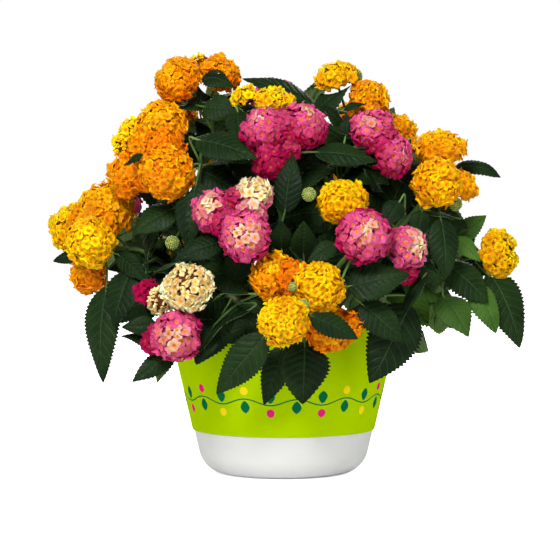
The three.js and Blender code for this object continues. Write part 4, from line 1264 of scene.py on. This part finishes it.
def leaf_material():
    """Dark green above with sunken pale veins, and grey green with raised veins below."""
    material, tree = new_material("leaf_blade", Specular_IOR_Level=0.1)
    under, luck, _ = attribute(tree, "tone")
    s, across, _ = parts_of(tree, add_node(tree, "ShaderNodeUVMap", uv_map="blade").outputs[0])
    t = calc(tree, "ABSOLUTE", calc(tree, "MULTIPLY_ADD", across, 2.0, -1.0))
    raked = calc(tree, "MULTIPLY_ADD", calc(tree, "POWER", t, VEIN_BEND), -VEIN_RAKE, s)
    turns = calc(tree, "FRACT", calc(tree, "MULTIPLY", raked, VEIN_PAIRS))
    off_vein = calc(tree, "ABSOLUTE", calc(tree, "SUBTRACT", turns, 0.5))
    side_vein = calc(tree, "MULTIPLY", ease(tree, off_vein, 0.37, 0.5, 0.0, 0.55),
                     ease(tree, t, 0.75, 1.0, 0.8, 0.15))
    veins = calc(tree, "MAXIMUM", ease(tree, t, 0.0, 0.055, 1.0, 0.0), side_vein)
    bright = ease(tree, luck, 0.76, 0.97)
    above = place_group(tree, GREEN_TISSUE, Luck=calc(tree, "MULTIPLY", luck, 0.7), Grain=700.0,
                        Light=blend(tree, bright, srgb(33, 57, 19), srgb(82, 120, 44)),
                        Dark=blend(tree, bright, srgb(9, 27, 7), srgb(44, 80, 25)))
    below = place_group(tree, GREEN_TISSUE, Light=srgb(112, 138, 84), Dark=srgb(78, 108, 60),
                        Luck=0.5, Grain=700.0)
    colour = blend(tree, calc(tree, "MULTIPLY", veins, 0.4), above["Colour"], srgb(66, 98, 56))
    pale = blend(tree, calc(tree, "MULTIPLY", veins, 0.6), below["Colour"], srgb(170, 184, 132))
    puckers = add_node(tree, "ShaderNodeTexVoronoi",
                       {"Vector": object_point(tree), "Scale": 420.0, "Smoothness": 0.7},
                       feature="SMOOTH_F1").outputs["Distance"]
    relief = calc(tree, "SUBTRACT", calc(tree, "MULTIPLY", puckers, -0.45), veins)
    return dressed(material, relief, 0.7, 0.0009, Base_Color=blend(tree, under, colour, pale),
                   Roughness=ease(tree, speckle(tree, 120, detail=3), 0.3, 0.7, 0.42, 0.58))


def stem_material():
    """Young green stems, which turn woody and tan towards the soil."""
    material, tree = new_material("young_stem", Roughness=0.55, Sheen_Weight=0.08,
                                  Sheen_Roughness=0.4, Specular_IOR_Level=0.2)
    old, luck, _ = attribute(tree, "tone")
    tissue = place_group(tree, GREEN_TISSUE, Light=srgb(104, 136, 62), Dark=srgb(54, 86, 38),
                         Luck=luck, Grain=1400.0)
    height = parts_of(tree, object_point(tree))[2]
    woody = calc(tree, "MULTIPLY", ease(tree, height, 0.15, 0.24, 0.85, 0.0),
                 ease(tree, speckle(tree, 200, detail=3), 0.3, 0.6, 0.5, 1.0))
    colour = blend(tree, calc(tree, "MULTIPLY", woody, old), tissue["Colour"], srgb(112, 98, 66))
    return dressed(material, tissue["Height"], 0.3, 0.0004, Base_Color=colour)


def bud_material():
    material, tree = new_material("green_bud", Roughness=0.5, Sheen_Weight=0.3,
                                  Sheen_Roughness=0.4)
    _, luck, tip = attribute(tree, "tone")
    tissue = place_group(tree, GREEN_TISSUE, Light=srgb(104, 136, 52), Dark=srgb(28, 52, 20),
                         Luck=luck, Grain=1800.0)
    colour = blend(tree, tip, tissue["Colour"], srgb(186, 196, 88))
    return dressed(material, tissue["Height"], 0.25, 0.0003, Base_Color=colour)


def pot_material():
    material, tree = new_material("pot_white", Specular_IOR_Level=0.45)
    grain = place_group(tree, MOULDED_GRAIN, Base=srgb(219, 219, 219), Soiled=srgb(209, 208, 205),
                        Roughness=0.36)
    return dressed(material, grain["Height"], 0.12, 0.0004, Base_Color=grain["Colour"],
                   Roughness=grain["Roughness"])


# The printed band, in metres up the sleeve and in shares of a sprig's place round it.
SPRIG_HEIGHT = 0.079
SPRIG_COUNT = 24
VINE_WAVES = 12.0
VINE_SWING = 0.003
SPRIG_LEAN = 0.008
SPRIG_LEAF = (0.19, 0.0062)
SPRIG_BERRY = (0.16, 0.0042)


def oval(tree, sides, sizes, power, low, high):
    """1 inside an oval, or a pointed leaf for a power under 2, and 0 outside it."""
    across, rise = (calc(tree, "POWER", calc(tree, "ABSOLUTE", calc(tree, "DIVIDE", side, size)),
                         power) for side, size in zip(sides, sizes))
    return ease(tree, calc(tree, "ADD", across, rise), low, high, 1.0, 0.0)


def wrap_material():
    """Lime green film, printed with a band of plain sprigs and berries."""
    material, tree = new_material("sleeve_lime", Specular_IOR_Level=0.0)
    grain = place_group(tree, MOULDED_GRAIN, Base=srgb(174, 210, 0), Soiled=srgb(162, 198, 4),
                        Roughness=0.48)
    x, y, z = parts_of(tree, object_point(tree))
    angle = calc(tree, "ARCTAN2", x, calc(tree, "MULTIPLY", y, -1.0))
    turns = calc(tree, "MULTIPLY", angle, SPRIG_COUNT / FULL_TURN)
    step = calc(tree, "ABSOLUTE", calc(tree, "FLOOR", turns))
    along = calc(tree, "SUBTRACT", calc(tree, "FRACT", turns), 0.5)
    swing = calc(tree, "SINE", calc(tree, "MULTIPLY", angle, VINE_WAVES))
    off_vine = calc(tree, "SUBTRACT", calc(tree, "SUBTRACT", z, SPRIG_HEIGHT),
                    calc(tree, "MULTIPLY", swing, VINE_SWING))
    vine = ease(tree, calc(tree, "ABSOLUTE", off_vine), 0.0005, 0.0008, 1.0, 0.0)
    lean = calc(tree, "MULTIPLY_ADD", calc(tree, "MODULO", step, 2.0), 2 * SPRIG_LEAN, -SPRIG_LEAN)
    leaves = oval(tree, (along, calc(tree, "SUBTRACT", off_vine, lean)), SPRIG_LEAF, 1.5, 0.94, 1.04)
    berries = oval(tree, (along, calc(tree, "ADD", off_vine, lean)), SPRIG_BERRY, 2.0, 0.9, 1.05)
    pinks = calc(tree, "LESS_THAN", calc(tree, "MODULO", step, 4.0), 1.5)
    greenery = blend(tree, calc(tree, "MAXIMUM", vine, leaves), grain["Colour"], srgb(12, 108, 66))
    berry_colour = blend(tree, pinks, srgb(250, 222, 30), srgb(236, 40, 120))
    return dressed(material, grain["Height"], 0.1, 0.0004, Roughness=grain["Roughness"],
                   Base_Color=blend(tree, berries, greenery, berry_colour))


def soil_material():
    material, tree = new_material("potting_soil", Roughness=0.95, Specular_IOR_Level=0.1)
    crumbs = speckle(tree, 260, detail=6, roughness=0.7)
    colour = blend(tree, ease(tree, crumbs, 0.35, 0.7), srgb(24, 18, 13), srgb(74, 54, 38))
    fibres = ease(tree, speckle(tree, 500, stretch=(1, 0.15, 1)), 0.66, 0.74, 0.0, 0.6)
    return dressed(material, crumbs, 0.9, 0.002,
                   Base_Color=blend(tree, fibres, colour, srgb(120, 92, 60)))


def perlite_material():
    material, tree = new_material("perlite", Roughness=0.9)
    pores = speckle(tree, 1500)
    return dressed(material, pores, 0.6, 0.0005,
                   Base_Color=blend(tree, pores, srgb(236, 232, 222), srgb(190, 184, 170)))


# ---- Pot, wrap and soil --------------------------------------------------------------------------

ROUND_STEPS = 144
WALL_SLOPE = (WRAP_TOP_RADIUS - WRAP_BOTTOM_RADIUS) / (POT_HEIGHT - WRAP_BOTTOM)
WALL_LEAN = math.atan(WALL_SLOPE)
CORNER_STEPS = 10
LIP_STEPS = 6


def wrap_outer(z):
    return WRAP_BOTTOM_RADIUS + WALL_SLOPE * (z - WRAP_BOTTOM)


def pot_outer(z):
    return wrap_outer(z) - WRAP_THICKNESS - SEAT_GAP


def corner_profile(inset, bottom):
    """The rounded lower corner of the pot's wall, from the floor up to the straight wall."""
    radius = POT_CORNER_RADIUS - inset
    top = bottom + radius * (1 - math.sin(WALL_LEAN))
    centre = pot_outer(top) - inset - radius * math.cos(WALL_LEAN)
    turns = [(math.pi / 2 - WALL_LEAN) * k / CORNER_STEPS for k in range(CORNER_STEPS + 1)]
    return [(centre + radius * math.sin(turn), bottom + radius * (1 - math.cos(turn)))
            for turn in turns]


def lathed(profile, closed=False):
    """A body turned round the pot's axis from points of radius and height."""
    bm = bmesh.new()
    verts = [bm.verts.new((radius, 0, z)) for radius, z in profile]
    edges = [bm.edges.new(pair) for pair in zip(verts, verts[1:] + verts[:1] * closed)]
    bmesh.ops.spin(bm, geom=verts + edges, axis=UP, cent=(0, 0, 0), angle=FULL_TURN,
                   steps=ROUND_STEPS, use_merge=True)
    bmesh.ops.remove_doubles(bm, verts=bm.verts, dist=0.001)
    turned_out(bm)
    return bm


def rounded_lip(inner, outer, z):
    """The points over the top of a wall, from its outer to its inner face."""
    middle, radius = (inner + outer) / 2, (outer - inner) / 2
    turns = [math.pi * k / LIP_STEPS for k in range(LIP_STEPS + 1)]
    return [(middle + radius * math.cos(turn), z + radius * math.sin(turn)) for turn in turns]


def make_pot(material):
    """The pot's wall and floor, with the drain holes cut out."""
    top = POT_HEIGHT - POT_WALL / 2
    body = lathed([(0, 0), *corner_profile(0, 0), (pot_outer(WRAP_BOTTOM), WRAP_BOTTOM),
                   *rounded_lip(pot_outer(top) - POT_WALL, pot_outer(top), top),
                   *reversed(corner_profile(POT_WALL, FLOOR_THICKNESS)), (0, FLOOR_THICKNESS)])
    pot = piece(body, "pot_body", [material], "pot_plastic", "pot")
    drains = bmesh.new()
    for k in range(DRAIN_COUNT):
        turn = FULL_TURN * k / DRAIN_COUNT
        place = (DRAIN_CIRCLE * math.cos(turn), DRAIN_CIRCLE * math.sin(turn), 0)
        bmesh.ops.create_cone(drains, cap_ends=True, segments=24, radius1=DRAIN_RADIUS,
                              radius2=DRAIN_RADIUS, depth=4 * FLOOR_THICKNESS,
                              matrix=Matrix.Translation(place))
    cutter = placed("drain_cutter", finished_mesh(drains, "drain_cutter"))
    cut = pot.modifiers.new("drain_holes", "BOOLEAN")
    cut.operation = "DIFFERENCE"
    cut.solver = "EXACT"
    cut.object = cutter
    bpy.context.view_layer.update()
    whole = pot.data
    pot.data = bpy.data.meshes.new_from_object(
        pot.evaluated_get(bpy.context.evaluated_depsgraph_get()))
    pot.modifiers.clear()
    bpy.data.meshes.remove(whole)
    pot.data.name = "pot_body"
    bpy.data.objects.remove(cutter)


# How far the sleeve's side stops short of its edges, and how far those lean.
WRAP_EDGE = 0.6
WRAP_EDGE_LEAN = 0.13
WRAP_MIDDLE = 100


def make_wrap(material):
    """A thin sleeve with softly turned edges round the upper part of the pot."""
    outer = [(wrap_outer(z), z)
             for z in (WRAP_BOTTOM + WRAP_EDGE, WRAP_MIDDLE, POT_HEIGHT - WRAP_EDGE)]
    inner = [(radius - WRAP_THICKNESS, z) for radius, z in reversed(outer)]
    middle = WRAP_THICKNESS / 2
    profile = [*outer, (outer[-1][0] - middle + WRAP_EDGE_LEAN, POT_HEIGHT), *inner,
               (outer[0][0] - middle - WRAP_EDGE_LEAN, WRAP_BOTTOM)]
    piece(lathed(profile, closed=True), "lime_wrap", [material], "sleeve_plastic", "wrap")


SOIL_INSET = POT_WALL + 0.3
SOIL_DEPTH = 30
SOIL_TAPER = 9
SOIL_RINGS = 44
SOIL_BELOW_RIM = 6
LUMP_SPAN = 14
LUMP_HEIGHT = 3.2
GRIT_SPAN = 2.4
GRIT_HEIGHT = 0.9
CRUMBS = 420
CRUMB_SIZES = (0.8, 2.2)
CRUMB_REACH = 0.97
PERLITE_SHARE = 0.1


def soil_level(x, y, rim):
    away = math.hypot(x, y) / rim
    lumps = noise.fractal(Vector((x, y, 0)) / LUMP_SPAN, 1.0, 2.0, 4) * LUMP_HEIGHT
    grit = noise.noise(Vector((x, y, 7)) / GRIT_SPAN) * GRIT_HEIGHT
    return SOIL_TOP + SOIL_CROWN * (1 - away) + lumps * (1 - away ** 6) + grit


def make_soil(soil, perlite):
    """A crumbly fill, with crumbs of bark and bits of perlite on top."""
    rim = pot_outer(SOIL_TOP) - SOIL_INSET
    bottom = SOIL_TOP - SOIL_DEPTH
    top = [(rim * (1 - k / SOIL_RINGS), SOIL_TOP) for k in range(SOIL_RINGS + 1)]
    bm = lathed([(0, bottom), (rim - SOIL_TAPER, bottom), *top])
    for vert in bm.verts:
        if vert.co.z > SOIL_TOP - 1:
            vert.co.z = min(soil_level(vert.co.x, vert.co.y, rim), POT_HEIGHT - SOIL_BELOW_RIM)
    for _ in range(CRUMBS):
        turn, away = LUCK.uniform(0, FULL_TURN), rim * CRUMB_REACH * math.sqrt(LUCK.random())
        x, y = away * math.cos(turn), away * math.sin(turn)
        size = Vector([LUCK.uniform(*CRUMB_SIZES) for _ in range(3)])
        seat = Vector((x, y, soil_level(x, y, rim)))
        spin = Quaternion(Vector((LUCK.random(), LUCK.random(), 1)), LUCK.uniform(0, 6))
        first = len(bm.faces)
        bmesh.ops.create_icosphere(bm, subdivisions=1, radius=1,
                                   matrix=Matrix.LocRotScale(seat, spin, size))
        bm.faces.ensure_lookup_table()
        is_perlite = LUCK.random() < PERLITE_SHARE
        for face in bm.faces[first:]:
            face.material_index = int(is_perlite)
    piece(bm, "soil_fill", [soil, perlite], "soil", "soil")


# ---- The studio ----------------------------------------------------------------------------------

FLOOR_HALF_SIDE = 15
PALE = (0.9, 0.9, 0.9, 1)
WHITE = (1, 1, 1, 1)
LIT_POINT = Vector((0, 0, 0.2))
# Name, place, size and power.
LIGHTS = (("key", (-0.65, -2.25, 1.85), 0.9, 83), ("fill", (1.4, -1.9, 0.5), 1.0, 7),
          ("back_left", (-0.9, 2.6, 1.7), 1.2, 36), ("back_right", (1.0, 2.6, 1.7), 1.2, 36))


def glow(tree, seen, unseen):
    """A strength for what the camera sees itself, and one for the light that falls on things."""
    is_camera = add_node(tree, "ShaderNodeLightPath").outputs["Is Camera Ray"]
    return calc(tree, "MULTIPLY_ADD", is_camera, seen - unseen, unseen)


def make_studio():
    """A wide pale floor, white all round, a soft key light and softer ones behind."""
    bm = bmesh.new()
    bmesh.ops.create_grid(bm, x_segments=1, y_segments=1, size=FLOOR_HALF_SIDE)
    material, tree = new_material("studio_white", Roughness=0.9, Specular_IOR_Level=0.1,
                                  Base_Color=PALE, Emission_Color=WHITE)
    set_shader(material, Emission_Strength=glow(tree, 0.8, 0.02))
    floor = placed("studio_floor", as_mesh(bm, "studio_floor"))
    floor.data.materials.append(material)
    world = bpy.data.worlds.new("studio")
    world.use_nodes = True
    tree = world.node_tree
    feed(tree, tree.nodes["Background"], {"Color": WHITE, "Strength": glow(tree, 1.0, 0.28)})
    bpy.context.scene.world = world
    for name, spot, size, power in LIGHTS:
        light = bpy.data.lights.new(name, "AREA")
        light.size = size
        light.energy = power
        aim(placed(name, light), spot, LIT_POINT)


# ---- Building ------------------------------------------------------------------------------------

# The petals' colours: young, open, old, then the eye and the throat.
PETAL_COLOURS = {
    "orange": ((255, 206, 8), (254, 172, 5), (244, 130, 3), (248, 156, 4), (228, 118, 3)),
    "gold": ((255, 208, 6), (254, 182, 3), (246, 150, 2), (248, 168, 3), (224, 130, 3)),
    "yellow": ((255, 218, 8), (254, 192, 3), (246, 164, 3), (248, 178, 3), (226, 144, 3)),
    "pink": ((252, 226, 180), (226, 84, 144), (172, 12, 76), (252, 190, 60), (226, 110, 50)),
    "cream": ((240, 220, 150), (252, 244, 184), (222, 90, 140), (252, 220, 50), (246, 196, 24)),
    "magenta": ((200, 66, 118), (180, 14, 76), (166, 6, 66), (190, 66, 58), (122, 6, 38)),
}
PLANT = [leaf_material(), stem_material(), bud_material()]
PETALS = {colour: petal_material(f"petal_{colour}", *tones)
          for colour, tones in PETAL_COLOURS.items()}

make_studio()
make_pot(pot_material())
make_wrap(wrap_material())
make_soil(soil_material(), perlite_material())
SHOOTS = side_shoots()
for stem_name, stem_row in STEMS.items():
    leafy_stem(stem_name, stem_row, PLANT, SHOOTS[stem_name])
for head_number, ((head_colour, *_), head_domes) in enumerate(zip(HEADS, HEAD_DOMES), 1):
    flower_head(head_number, head_colour, head_domes, [PETALS[head_colour]])
